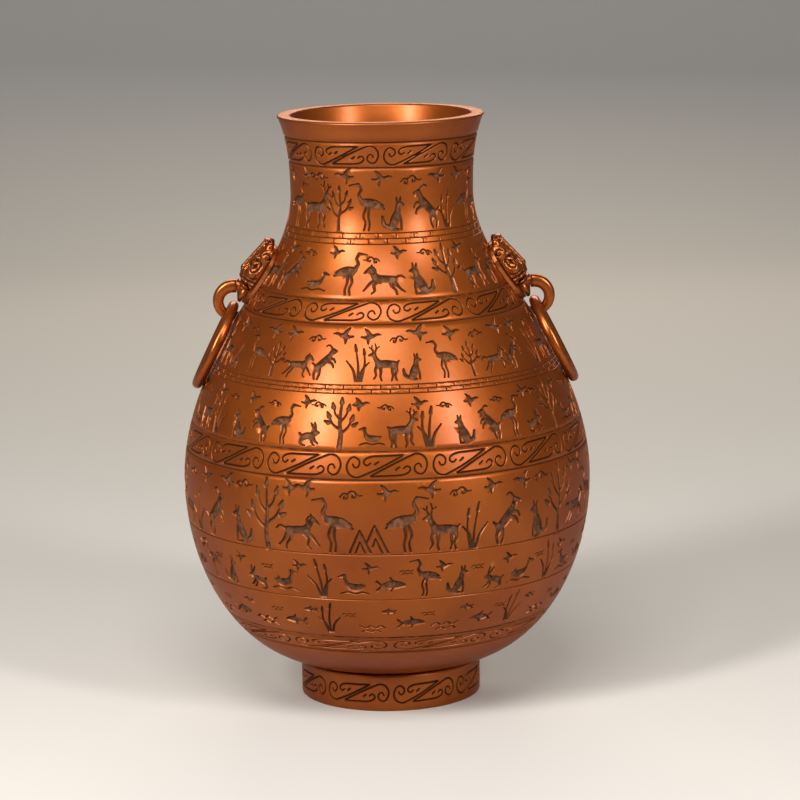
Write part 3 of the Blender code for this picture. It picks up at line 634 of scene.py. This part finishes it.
def scrollBand(outline, low, high, count, thick):
    # The old scroll of long slanting bars: each ends in a curl, and a small hook fills the corner beside it.
    outline = np.array(outline)
    meanRadius = outline[:, 0].mean()
    pitch = math.tau * meanRadius / count
    tall = high - low
    bar = [(0.186, 0.40), (0.07, 0.19), (-0.047, -0.02), (-0.163, -0.21), (-0.27, -0.37), (-0.35, -0.46),
           (-0.43, -0.34), (-0.465, -0.04), (-0.43, 0.28), (-0.37, 0.36), (-0.315, 0.20), (-0.33, -0.02),
           (-0.375, -0.06), (-0.395, 0.08)]
    hook = [(0.186, 0.42), (-0.02, 0.40), (-0.17, 0.38), (-0.255, 0.26), (-0.265, 0.10), (-0.225, 0.02), (-0.19, 0.12)]
    thorn = [(-0.10, 0.16), (-0.14, 0.06)]
    made = []
    for n in range(count):
        middle = -math.pi * meanRadius + pitch * (n + 0.5)
        for shape in (bar, hook, thorn):
            for turn in (1, -1):
                points = [(middle + turn * x * pitch, low + (0.5 + turn * y) * tall, thick * (1 - 0.25 * k / len(shape)))
                          for k, (x, y) in enumerate(shape)]
                made.append({"points": points, "deep": 0.6, "tone": 1.0, "step": 0.8})
    return made


fineLine = {"wide": 0.42, "deep": 0.38}


def brickCourse(outline, v, gap, count, rows=2):
    # A ground line drawn as a low brick course with staggered upright ticks.
    outline = np.array(outline)
    meanRadius = outline[:, 0].mean()
    pitch = math.tau * meanRadius / count
    ticks = []
    for level in range(rows):
        for n in range(count):
            u = -math.pi * meanRadius + pitch * (n + 0.25 + 0.5 * (level % 2))
            low = v + gap * level
            ticks.append({"points": [(u, low + 0.45, 0.25), (u, low + gap - 0.45, 0.25)], "deep": 0.36, "tone": 1.0})
    lines = [{"v": v + gap * level, **fineLine} for level in range(rows + 1)]
    return ticks, lines


def outlineBetween(zLow, zHigh, step=0.8):
    count = max(8, int((zHigh - zLow) / step))
    return [(wallRadius(z), z) for z in stretch(zLow, zHigh, count)]


def runTo(outline, z):
    outline = np.array(outline)
    runs = np.concatenate([[0], np.cumsum(np.linalg.norm(np.diff(outline, axis=0), axis=1))])
    return float(np.interp(z, outline[:, 1], runs))


def border(v):
    return {"v": v, "wide": 1.05, "deep": 0.74}


def engravedBand(name, band, closing):
    outline = band.get("outline") or outlineBetween(band["low"], band["high"])
    low, high = (runTo(outline, z) for z in band["scroll"])
    below, over = band.get("margins", (0.0, 0.0))
    strokes = scrollBand(outline, low + below, high - over, band["units"], band.get("thick", 0.46))
    lines = [border(runTo(outline, z)) for z in band.get("borders", ())]
    lines += [{"v": runTo(outline, z) + shift, **fineLine} for z, shift in band.get("fine", ())]
    for ground, gap, count in band.get("bricks", ()):
        ticks, courses = brickCourse(outline, runTo(outline, ground), gap, count)
        strokes += ticks
        lines += courses
    for figures in band.get("rows", ()):
        ground = runTo(outline, figures["ground"])
        strokes += row(outline, ground, figures["tall"], figures["names"], figures["count"], figures["small"],
                       figures.get("smallRise", 0.72))
    return engrave(name, outline, closing, strokes, lines)


# Neck: lip, scroll band and two rows

neck = {
    "low": 225.6, "high": 314.6, "scroll": (292.8, 304.0), "units": 8, "borders": (305.0, 291.8, 225.6),
    "bricks": [(252.6, 2.9, 34)],
    "rows": [
        {"ground": 259.4, "tall": 31.0, "count": 20, "names": [
            ("deer", False, 0.70), ("tree", False, 0.84), ("crane", True, 0.78), ("fox", False, 0.64),
            ("goat", True, 0.74), ("reeds", False, 0.80), ("crane", False, 0.74),
        ], "small": [("flight", False, 0.30), ("cloud", False, 0.32), ("flight", True, 0.30)]},
        {"ground": 227.8, "tall": 27.0, "count": 21, "names": [
            ("goat", False, 0.82), ("duck", False, 0.60), ("crane", False, 0.86), ("horse", True, 0.70),
            ("fox", True, 0.74), ("tree", True, 0.84), ("deer", False, 0.74),
        ], "small": [("flight", False, 0.30), ("cloud", True, 0.30)]},
    ],
}
lip = {"outer": 53.6, "inner": 49.6, "centre": 314.95, "wide": 1.5, "high": 1.05, "turns": (-20, 0, 20, 40, 60, 75, 90)}
lipBend = [(lip["wide"] * math.cos(math.radians(a)), lip["centre"] + lip["high"] * math.sin(math.radians(a)))
           for a in lip["turns"]]
neckClosing = [(lip["outer"] + out, z) for out, z in lipBend]
neckClosing += [(lip["inner"] - out, z) for out, z in lipBend[:0:-1]]
neckClosing += [innerPoint(z) for z in stretch(312.0, 227.6, 23)]
neckSkin = engravedBand("vaseNeck", neck, neckClosing)

# Shoulder: scroll band, a row over a brick course and a lower row

shoulder = {
    "low": 153.1, "high": 225.6, "scroll": (214.2, 225.6), "margins": (0.9, 0.9), "units": 10,
    "borders": (153.1, 225.6, 214.2), "bricks": [(181.2, 2.3, 60)],
    "rows": [
        {"ground": 187.4, "tall": 29.0, "count": 35, "smallRise": 0.66, "names": [
            ("horse", False, 0.56), ("goat", False, 0.66), ("reeds", True, 0.66), ("deer", True, 0.60),
            ("fox", False, 0.56), ("crane", True, 0.70), ("tree", False, 0.72),
        ], "small": [("flight", True, 0.36), ("flight", False, 0.34), ("cloud", False, 0.30)]},
        {"ground": 155.0, "tall": 25.0, "count": 40, "names": [
            ("crane", False, 0.84), ("hare", False, 0.54), ("tree", True, 0.88), ("duck", True, 0.56),
            ("deer", False, 0.70), ("reeds", False, 0.80), ("fox", True, 0.68), ("goat", True, 0.74),
        ], "small": [("flight", False, 0.32), ("cloud", True, 0.30)]},
    ],
}
shoulderSkin = engravedBand("vaseShoulder", shoulder, [innerPoint(z) for z in stretch(227.6, 154.6, 22)])

# Belly: scroll band, a tall row on a ground line and two lower rows

belly = {
    "low": 51.3, "high": 153.1, "scroll": (138.9, 153.1), "margins": (0.9, 0.9), "units": 15,
    "borders": (51.3, 153.1, 138.9), "fine": [(99.8, 0.0), (74.6, 0.0)],
    "rows": [
        {"ground": 100.8, "tall": 37.0, "count": 36, "names": [
            ("crane", False, 0.78), ("deer", True, 0.66), ("reeds", False, 0.84), ("goat", False, 0.72),
            ("fox", True, 0.62), ("tree", False, 0.84), ("horse", False, 0.60), ("crane", True, 0.76),
            ("hills", False, 0.58),
        ], "small": [("flight", True, 0.28), ("cloud", False, 0.28), ("flight", False, 0.26)]},
        {"ground": 76.0, "tall": 22.0, "count": 35, "smallRise": 0.60, "names": [
            ("duck", False, 0.84), ("reeds", True, 0.94), ("duck", True, 0.80), ("fish", False, 0.70),
            ("crane", True, 0.96), ("fox", False, 0.84), ("hare", True, 0.66),
        ], "small": [("flight", False, 0.34), ("wave", False, 0.30)]},
        {"ground": 54.6, "tall": 22.0, "count": 30, "smallRise": 0.50, "names": [
            ("fish", False, 0.66), ("wave", False, 0.66), ("fish", True, 0.60), ("reeds", False, 0.86),
            ("wave", True, 0.60),
        ], "small": [("fish", True, 0.34), ("wave", False, 0.30)]},
    ],
}
bellySkin = engravedBand("vaseBelly", belly, [innerPoint(z) for z in stretch(154.6, 53.4, 26)])

# Underside: the low scroll band, the plain curve down to the foot and the spigot that stands in the foot ring

underside = {
    "low": 20.73, "high": 51.3, "scroll": (43.4, 51.3), "margins": (0.0, 1.9), "units": 10, "thick": 0.34,
    "borders": (51.3, 41.5), "fine": [(51.3, -1.5), (41.5, 1.5)],
}
underDrop = underside["high"] - underside["low"]
underHeights = [underside["high"] - underDrop * math.sin(math.pi / 2 * n / 60) for n in range(61)]
underside["outline"] = [(wallRadius(z), z) for z in sorted(underHeights)]
floorRadius, floorHeight = vessel["floorEdge"]
underClosing = [point for point in map(innerPoint, stretch(53.4, 24.6, 16)) if point[0] > floorRadius]
underClosing += [(vessel["spigotInside"], floorHeight), (vessel["spigotInside"], vessel["spigotBottom"])]
underClosing += [(vessel["spigot"], vessel["spigotBottom"]), (vessel["spigot"], vessel["joint"])]
underClosing += [(vessel["collar"], vessel["joint"])]
underSkin = engravedBand("vaseUnderside", underside, underClosing)
for skin in (neckSkin, shoulderSkin, bellySkin, underSkin):
    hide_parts("vase_body")

# Foot ring with its own scroll band, a socket for the spigot and a ledge for the base plate

foot = {
    "radius": 48.7, "top": 20.0, "socket": 43.7, "ledge": 10.4, "inside": 40.5, "scroll": (3.9, 15.5), "units": 8,
    "thick": 0.44, "round": ((0.2, 0.8), (0.7, 0.2), (1.4, 0.0)), "hem": 0.5,
}
foot["outline"] = [(foot["radius"], z) for z in stretch(0.9, 18.4, 24)]
footClosing = [(foot["radius"] - inward, foot["top"] - down) for inward, down in foot["round"]]
footClosing += [(foot["socket"], foot["top"]), (foot["socket"], foot["ledge"]), (foot["inside"], foot["ledge"])]
footClosing += [(foot["inside"], foot["hem"]), (foot["inside"] + foot["hem"], 0.0), (foot["radius"] - 0.7, 0.0)]
footClosing += [(foot["radius"] - 0.2, 0.3)]
footPiece = engravedBand("footRing", foot, footClosing)
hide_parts("foot_ring")
print("stage: engraved vessel made")


# Handles

handle = {
    "height": 229.5, "seat": 2.4, "width": 29.0, "length": 31.0, "depth": 10.0, "voxel": 0.30,
    "hookReach": 2.0, "hookRadius": 8.3, "hookRoot": 3.5, "hookTip": 2.1,
    "hookSweep": math.radians(215), "hookSteps": 48,
    "ringRadius": 23.0, "ringBar": 2.8, "ringLean": 26.55, "pivot": (80.8756, 213.1864),
}


def handleFrame():
    radial, upward = wallNormal(handle["height"])
    radius, z = offsetPoint(handle["height"], handle["seat"])
    made = Matrix.Identity(4)
    made.col[0][:3] = (0.0, 1.0, 0.0)
    made.col[1][:3] = (-upward, 0.0, radial)
    made.col[2][:3] = (radial, 0.0, upward)
    made.col[3][:3] = (radius, 0.0, z)
    return made


def hookSeam():
    return handleFrame() @ Vector((0.0, -0.755 * handle["length"] / 2, 0.61 * handle["depth"]))


def maskPlace(centre, lean=0.0, roll=0.0, yaw=0.0):
    spot = Vector((centre[0] * handle["width"] / 2, centre[1] * handle["length"] / 2, centre[2] * handle["depth"]))
    turn = Matrix.Rotation(math.radians(roll), 4, "Z") @ Matrix.Rotation(math.radians(lean), 4, "X")
    return Matrix.Translation(spot) @ turn @ Matrix.Rotation(math.radians(yaw), 4, "Y")


def maskSize(shares):
    sides = (handle["width"] / 2, handle["length"] / 2, handle["depth"])
    return Matrix.Diagonal((*(a * b for a, b in zip(shares, sides)), 1.0))


def ball(bm, centre, radii, **turns):
    matrix = maskPlace(centre, **turns) @ maskSize(radii)
    bmesh.ops.create_uvsphere(bm, u_segments=28, v_segments=18, radius=1.0, matrix=matrix)


def slab(bm, centre, halves, narrowing=0.0, **turns):
    made = bmesh.ops.create_cube(bm, size=2.0)["verts"]
    for vert in made:
        if vert.co.y < 0:
            vert.co.x *= 1 - narrowing
    bmesh.ops.transform(bm, matrix=maskPlace(centre, **turns) @ maskSize(halves), verts=made)


def maskSolid():
    bm = bmesh.new()
    ball(bm, (0, 0.26, 0.12), (0.84, 0.78, 0.54))
    ball(bm, (0, 0.86, 0.14), (0.66, 0.26, 0.40))
    slab(bm, (0, 0.42, 0.28), (0.70, 0.50, 0.24), narrowing=0.05, lean=-6)
    slab(bm, (0, 0.44, 0.38), (0.50, 0.56, 0.30), narrowing=0.10, lean=-10)
    slab(bm, (0, 0.56, 0.70), (0.40, 0.61, 0.10), narrowing=0.30, lean=-10.5)
    ball(bm, (0, 1.13, 0.48), (0.48, 0.13, 0.22))
    ball(bm, (0, -0.06, 0.86), (0.30, 0.11, 0.15))
    ball(bm, (0, -0.14, 0.48), (0.62, 0.30, 0.44))
    ball(bm, (0, -0.37, 0.34), (0.80, 0.10, 0.52), lean=-6)
    ball(bm, (0, -0.55, 0.27), (0.68, 0.10, 0.48), lean=-6)
    ball(bm, (0, -0.60, 0.26), (0.34, 0.25, 0.40))
    ball(bm, (0, -0.80, 0.10), (0.34, 0.40, 0.36))
    for side in (-1, 1):
        ball(bm, (0.21 * side, -0.08, 0.82), (0.15, 0.11, 0.17))
        ball(bm, (0.64 * side, 0.00, 0.26), (0.36, 0.34, 0.46))
        ball(bm, (0.66 * side, 0.16, -0.02), (0.28, 0.70, 0.34))
        ball(bm, (0.64 * side, 0.33, 0.42), (0.21, 0.15, 0.22))
        ball(bm, (0.60 * side, 0.52, 0.46), (0.29, 0.085, 0.24), roll=14 * side)
        ball(bm, (0.70 * side, 0.72, 0.08), (0.28, 0.38, 0.46))
        ball(bm, (0.66 * side, 1.02, 0.26), (0.18, 0.22, 0.22), roll=-14 * side)
    bmesh.ops.transform(bm, matrix=handleFrame(), verts=bm.verts)
    seam = hookSeam()
    turn = Matrix.Rotation(math.pi / 2, 4, "Y")
    shift = Matrix.Translation((0, 0, handle["hookRoot"] / 2 - handle["depth"]))
    bmesh.ops.create_cone(bm, cap_ends=True, segments=32, radius1=handle["hookRoot"], radius2=handle["hookRoot"],
                          depth=2 * handle["depth"], matrix=Matrix.Translation(seam) @ turn @ shift)
    bmesh.ops.recalc_face_normals(bm, faces=bm.faces)
    return bm


def temporary(name, bm):
    mesh = bpy.data.meshes.new(name)
    bm.to_mesh(mesh)
    bm.free()
    obj = bpy.data.objects.new(name, mesh)
    bpy.context.scene.collection.objects.link(obj)
    return obj


def seatSolid(distance):
    # The vessel's own space under the mask, which the casting is trimmed to.
    bm = bmesh.new()
    heights = stretch(264.0, 196.0, 36)
    points = [offsetPoint(z, distance) for z in heights]
    outline = [(0.0, points[0][1])] + points + [(0.0, points[-1][1])]
    verts = [bm.verts.new((r, 0.0, z)) for r, z in outline]
    for pair in zip(verts, verts[1:]):
        bm.edges.new(pair)
    bmesh.ops.spin(bm, geom=bm.verts[:] + bm.edges[:], cent=(0, 0, 0), axis=(0, 0, 1), angle=math.tau,
                   steps=96, use_merge=True)
    bmesh.ops.remove_doubles(bm, verts=bm.verts, dist=1e-4)
    bmesh.ops.recalc_face_normals(bm, faces=bm.faces)
    return temporary("seat", bm)


def maskMesh():
    solid = temporary("mask", maskSolid())
    seat = seatSolid(handle["seat"])
    facing = bmesh.new()
    seam = hookSeam()
    bmesh.ops.create_cube(facing, size=1.0, matrix=Matrix.Translation(seam + Vector((10, 0, 0)))
                          @ Matrix.Diagonal((20, 16, 16, 1)))
    front = temporary("facing", facing)
    fuse = solid.modifiers.new("fuse", "REMESH")
    fuse.mode = "VOXEL"
    fuse.voxel_size = handle["voxel"]
    soften = solid.modifiers.new("soften", "SMOOTH")
    soften.factor = 0.5
    soften.iterations = 6
    for number, tool in enumerate((seat, front)):
        trim = solid.modifiers.new(f"trim{number}", "BOOLEAN")
        trim.object = tool
        trim.operation = "DIFFERENCE"
    graph = bpy.context.evaluated_depsgraph_get()
    mesh = bpy.data.meshes.new_from_object(solid.evaluated_get(graph), depsgraph=graph)
    for obj in (solid, seat, front):
        bpy.data.objects.remove(obj)
    carveMask(mesh)
    return mesh


def carvedMarks():
    # Cuts on the mask: on its sides as (up, out, radius), on its front as (across, up, radius).
    sides = [
        [(5.9, 1.0, 0.3), (7.4, 2.6, 0.42), (7.2, 4.9, 0.46), (5.0, 6.3, 0.44), (2.2, 6.1, 0.36)],
        [(7.0, 2.2, 0.3), (4.6, 1.7, 0.46), (1.9, 2.2, 0.5), (0.7, 4.0, 0.46), (1.6, 5.6, 0.36)],
        [(11.6, 3.6, 0.3), (13.2, 2.6, 0.44), (13.4, 0.6, 0.48), (11.8, -0.7, 0.46), (10.2, 0.2, 0.4),
         (10.7, 1.5, 0.3)],
        [(16.0, 4.9, 0.3), (9.0, 6.3, 0.38), (1.5, 7.5, 0.36)],
        [(-2.3, 0.6, 0.3), (-2.8, 2.8, 0.42), (-2.6, 5.2, 0.46), (-1.8, 7.2, 0.36)],
        [(-3.9, -1.2, 0.4), (-4.5, 1.6, 0.5), (-4.3, 4.4, 0.5), (-3.5, 6.8, 0.4)],
        [(-6.5, -1.0, 0.4), (-6.7, 1.8, 0.46), (-6.3, 4.4, 0.46), (-5.5, 6.0, 0.36)],
    ]
    marks = [{"dabs": smoothStroke(points, 0.5), "deep": 0.62, "tone": 0.6} for points in sides]
    slit = [(5.6, 3.2, 0.3), (4.4, 3.9, 0.8), (2.9, 4.6, 0.3)]
    marks.append({"dabs": smoothStroke(slit, 0.4), "deep": 0.9, "tone": 1.0})
    front = []
    for side in (-1, 1):
        front.append([(2.6 * side, 16.5, 0.3), (2.5 * side, 9.0, 0.34), (1.7 * side, 1.4, 0.3)])
        front.append([(2.3 * side, 12.4, 0.3), (0.0, 10.8, 0.32)])
        front.append([(2.1 * side, 8.0, 0.3), (0.0, 6.4, 0.32)])
        front.append([(2.4 * side, -1.8, 0.5), (2.9 * side, -1.2, 0.4)])
        front.append([(6.4 * side, 16.6, 0.3), (5.4 * side, 17.6, 0.34), (3.6 * side, 17.6, 0.3)])
    cuts = [{"dabs": smoothStroke(points, 0.5), "deep": 0.5, "tone": 0.7} for points in front]
    return Field(marks), Field(cuts)


def carveMask(mesh):
    inverse = np.array(handleFrame().inverted())
    count = len(mesh.vertices)
    spots = np.empty(count * 3)
    mesh.vertices.foreach_get("co", spots)
    spots = spots.reshape(-1, 3)
    normals = np.array([tuple(n.vector) for n in mesh.vertex_normals])
    own = spots @ inverse[:3, :3].T + inverse[:3, 3]
    turned = normals @ inverse[:3, :3].T
    marks, cuts = carvedMarks()
    sideShare = np.clip((np.abs(turned[:, 0]) - 0.20) / 0.30, 0, 1) * (np.abs(own[:, 0]) > 3.0)
    _, sideDeep, sideTone, _ = marks.at(own[:, 1:3])
    frontShare = np.clip((turned[:, 2] - 0.45) / 0.3, 0, 1)
    _, frontDeep, frontTone, _ = cuts.at(own[:, 0:2])
    deep = np.maximum(sideDeep * sideShare, frontDeep * frontShare)
    # The tone darkens the carved marks and carries the painted shade along their walls.
    tone = np.maximum(sideTone * sideShare, frontTone * frontShare)
    spots -= normals * deep[:, None]
    mesh.vertices.foreach_set("co", spots.ravel())
    for name, values in (("sink", np.clip(deep / 0.45, 0, 1)), ("tone", tone)):
        layer = mesh.attributes.new(name, "FLOAT", "POINT")
        layer.data.foreach_set("value", values)


def hookSolid():
    # One rounded section, extruded along the tenon, the shoulder and the bend.
    seam = hookSeam()
    root, tip = handle["hookRoot"], handle["hookTip"]
    centre = seam + Vector((handle["hookReach"], 0, -handle["hookRadius"]))
    up = Vector((0, 0, 1))
    tenon = ((-3.0, 2.0), (0.3, 2.0), (0.3, root - 0.25), (0.6, root))
    sections = [(seam + Vector((x, 0, 0)), up, half) for x, half in tenon]
    for n in range(handle["hookSteps"] + 1):
        share = n / handle["hookSteps"]
        angle = math.pi / 2 - handle["hookSweep"] * share
        outward = Vector((math.cos(angle), 0.0, math.sin(angle)))
        sections.append((centre + outward * handle["hookRadius"], outward, root + (tip - root) * share))
    places = []
    for middle, outward, half in sections:
        place = Matrix.Identity(4)
        place.col[0][:3] = outward * half
        place.col[1][:3] = (0.0, half, 0.0)
        place.col[2][:3] = outward.cross(Vector((0, 1, 0)))
        place.col[3][:3] = middle
        places.append(place)
    bm = bmesh.new()
    bmesh.ops.create_circle(bm, cap_ends=True, segments=28, radius=1.0)
    for vert in bm.verts:
        vert.co.x = math.copysign(abs(vert.co.x) ** 0.80, vert.co.x)
        vert.co.y = math.copysign(abs(vert.co.y) ** 0.62, vert.co.y)
    bmesh.ops.contextual_create(bm, geom=drawAlong(bm, places))
    bmesh.ops.recalc_face_normals(bm, faces=bm.faces)
    return bm


def hookMesh():
    solid = temporary("hook", hookSolid())
    seat = seatSolid(0.3)
    trim = solid.modifiers.new("trim", "BOOLEAN")
    trim.object = seat
    trim.operation = "DIFFERENCE"
    graph = bpy.context.evaluated_depsgraph_get()
    mesh = bpy.data.meshes.new_from_object(solid.evaluated_get(graph), depsgraph=graph)
    for obj in (solid, seat):
        bpy.data.objects.remove(obj)
    return mesh


def ringMesh():
    bm = bmesh.new()
    bmesh.ops.create_circle(bm, segments=28, radius=handle["ringBar"], matrix=Matrix.Rotation(math.pi / 2, 4, "X"))
    bmesh.ops.spin(bm, geom=bm.verts[:] + bm.edges[:], cent=(0, 0, -handle["ringRadius"]), axis=(1, 0, 0),
                   angle=math.tau, steps=112, use_merge=True)
    bmesh.ops.remove_doubles(bm, verts=bm.verts, dist=1e-4)
    bmesh.ops.recalc_face_normals(bm, faces=bm.faces)
    hang = Matrix.Translation((handle["pivot"][0], 0, handle["pivot"][1]))
    lean = Matrix.Rotation(-math.radians(handle["ringLean"]), 4, "Y")
    bmesh.ops.transform(bm, matrix=hang @ lean, verts=bm.verts)
    mesh = bpy.data.meshes.new("ring")
    bm.to_mesh(mesh)
    bm.free()
    return mesh


maskShape, hookShape, ringShape = maskMesh(), hookMesh(), ringMesh()
handlePieces = (
    ("BeastMask", maskShape, maskCopper, "vessel", "beast_mask", "cast_copper"),
    ("RingHook", hookShape, ringCopper, "vessel", "ring_hook", "polished_copper"),
    ("LooseRing", ringShape, ringCopper, "{side}_ring", "loose_ring", "polished_copper"),
)
for side, angle in (("right", 0.0), ("left", math.pi)):
    for title, shape, material, body, node, slot in handlePieces:
        bm = bmesh.new()
        bm.from_mesh(shape)
        bmesh.ops.transform(bm, matrix=Matrix.Rotation(angle, 4, "Z") @ Matrix.Scale(mm, 4), verts=bm.verts)
        piece = keepPiece(side + title, bm, material, body.format(side=side), 50)
        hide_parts(f"{side}_{node}")
for name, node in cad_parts.items():
    if "saddle_plate" in name or "rivet" in name:
        node.data.materials[0] = maskCopper
    if name == "base_plate":
        node.data.materials[0] = bodyCopper
print("stage: handles made")


# Floor, light and camera

floorMaterial = bpy.data.materials.new("paleFloor")
floorMaterial.use_nodes = True
floorShader = floorMaterial.node_tree.nodes["Principled BSDF"]
floorShader.inputs["Base Color"].default_value = (0.47, 0.465, 0.455, 1.0)
floorShader.inputs["Roughness"].default_value = 0.75
backdrop = {"front": -3.2, "wall": 2.5, "bend": 0.9, "top": 3.2, "half": 5.0}
bends = [math.pi / 2 * n / 16 for n in range(17)]
sweep = [(backdrop["front"], 0.0)]
sweep += [(backdrop["wall"] - backdrop["bend"] * (1 - math.sin(a)), backdrop["bend"] * (1 - math.cos(a))) for a in bends]
sweep += [(backdrop["wall"], backdrop["top"])]
bm = bmesh.new()
spots = [bm.verts.new((-backdrop["half"], y, z)) for y, z in sweep]
line = [bm.edges.new(pair) for pair in zip(spots, spots[1:])]
grown = bmesh.ops.extrude_edge_only(bm, edges=line)["geom"]
across = [part for part in grown if isinstance(part, bmesh.types.BMVert)]
bmesh.ops.translate(bm, vec=(2 * backdrop["half"], 0, 0), verts=across)
bm.normal_update()
if bm.faces[:][0].normal.z < 0:
    bmesh.ops.reverse_faces(bm, faces=bm.faces)
floorMesh = bpy.data.meshes.new("studioFloor")
bm.to_mesh(floorMesh)
bm.free()
floorMesh.shade_smooth()
floorMesh.materials.append(floorMaterial)
floor = bpy.data.objects.new("studioFloor", floorMesh)
bpy.context.scene.collection.objects.link(floor)

lights = (
    ("leftStrip", (-0.85, -0.95, 0.90), (0.20, 0.7), 26.0, (1.0, 0.94, 0.87)),
    ("rightStrip", (0.95, -1.00, 0.84), (0.18, 0.7), 18.0, (1.0, 0.94, 0.88)),
    ("topSoft", (-0.10, -0.85, 1.35), (0.8, 0.5), 15.0, (1.0, 0.95, 0.89)),
    ("backSoft", (0.10, 1.75, 0.95), (1.2, 0.5), 12.0, (1.0, 0.86, 0.68)),
)
for name, spot, size, power, colour in lights:
    lamp = bpy.data.lights.new(name, "AREA")
    lamp.shape = "RECTANGLE"
    lamp.size, lamp.size_y = size
    lamp.energy = power
    lamp.color = colour
    obj = bpy.data.objects.new(name, lamp)
    obj.location = spot
    obj.rotation_euler = (Vector((0, 0, 0.15)) - Vector(spot)).to_track_quat("-Z", "Y").to_euler()
    bpy.context.scene.collection.objects.link(obj)

world = bpy.data.worlds.new("studio")
bpy.context.scene.world = world
world.use_nodes = True
world.node_tree.nodes["Background"].inputs["Color"].default_value = (0.55, 0.56, 0.58, 1.0)
world.node_tree.nodes["Background"].inputs["Strength"].default_value = 0.24

shot = {"back": 1.75, "height": 0.487, "pitch": 0.1845, "roll": 0.0191, "lens": 148.2, "slide": 0.0178}
camera = bpy.data.cameras.new("camera")
camera.sensor_width = 36.0
camera.lens = shot["lens"]
camera.shift_x = shot["slide"]
eye = bpy.data.objects.new("camera", camera)
eye.location = (0.0, -shot["back"], shot["height"])
facing = Matrix.Rotation(math.pi / 2 - shot["pitch"], 4, "X") @ Matrix.Rotation(-shot["roll"], 4, "Z")
eye.rotation_euler = facing.to_euler()
bpy.context.scene.collection.objects.link(eye)
scene = bpy.context.scene
scene.camera = eye
scene.render.resolution_x = 1000
scene.render.resolution_y = 1000
scene.view_settings.view_transform = "Standard"
print("stage: studio made")
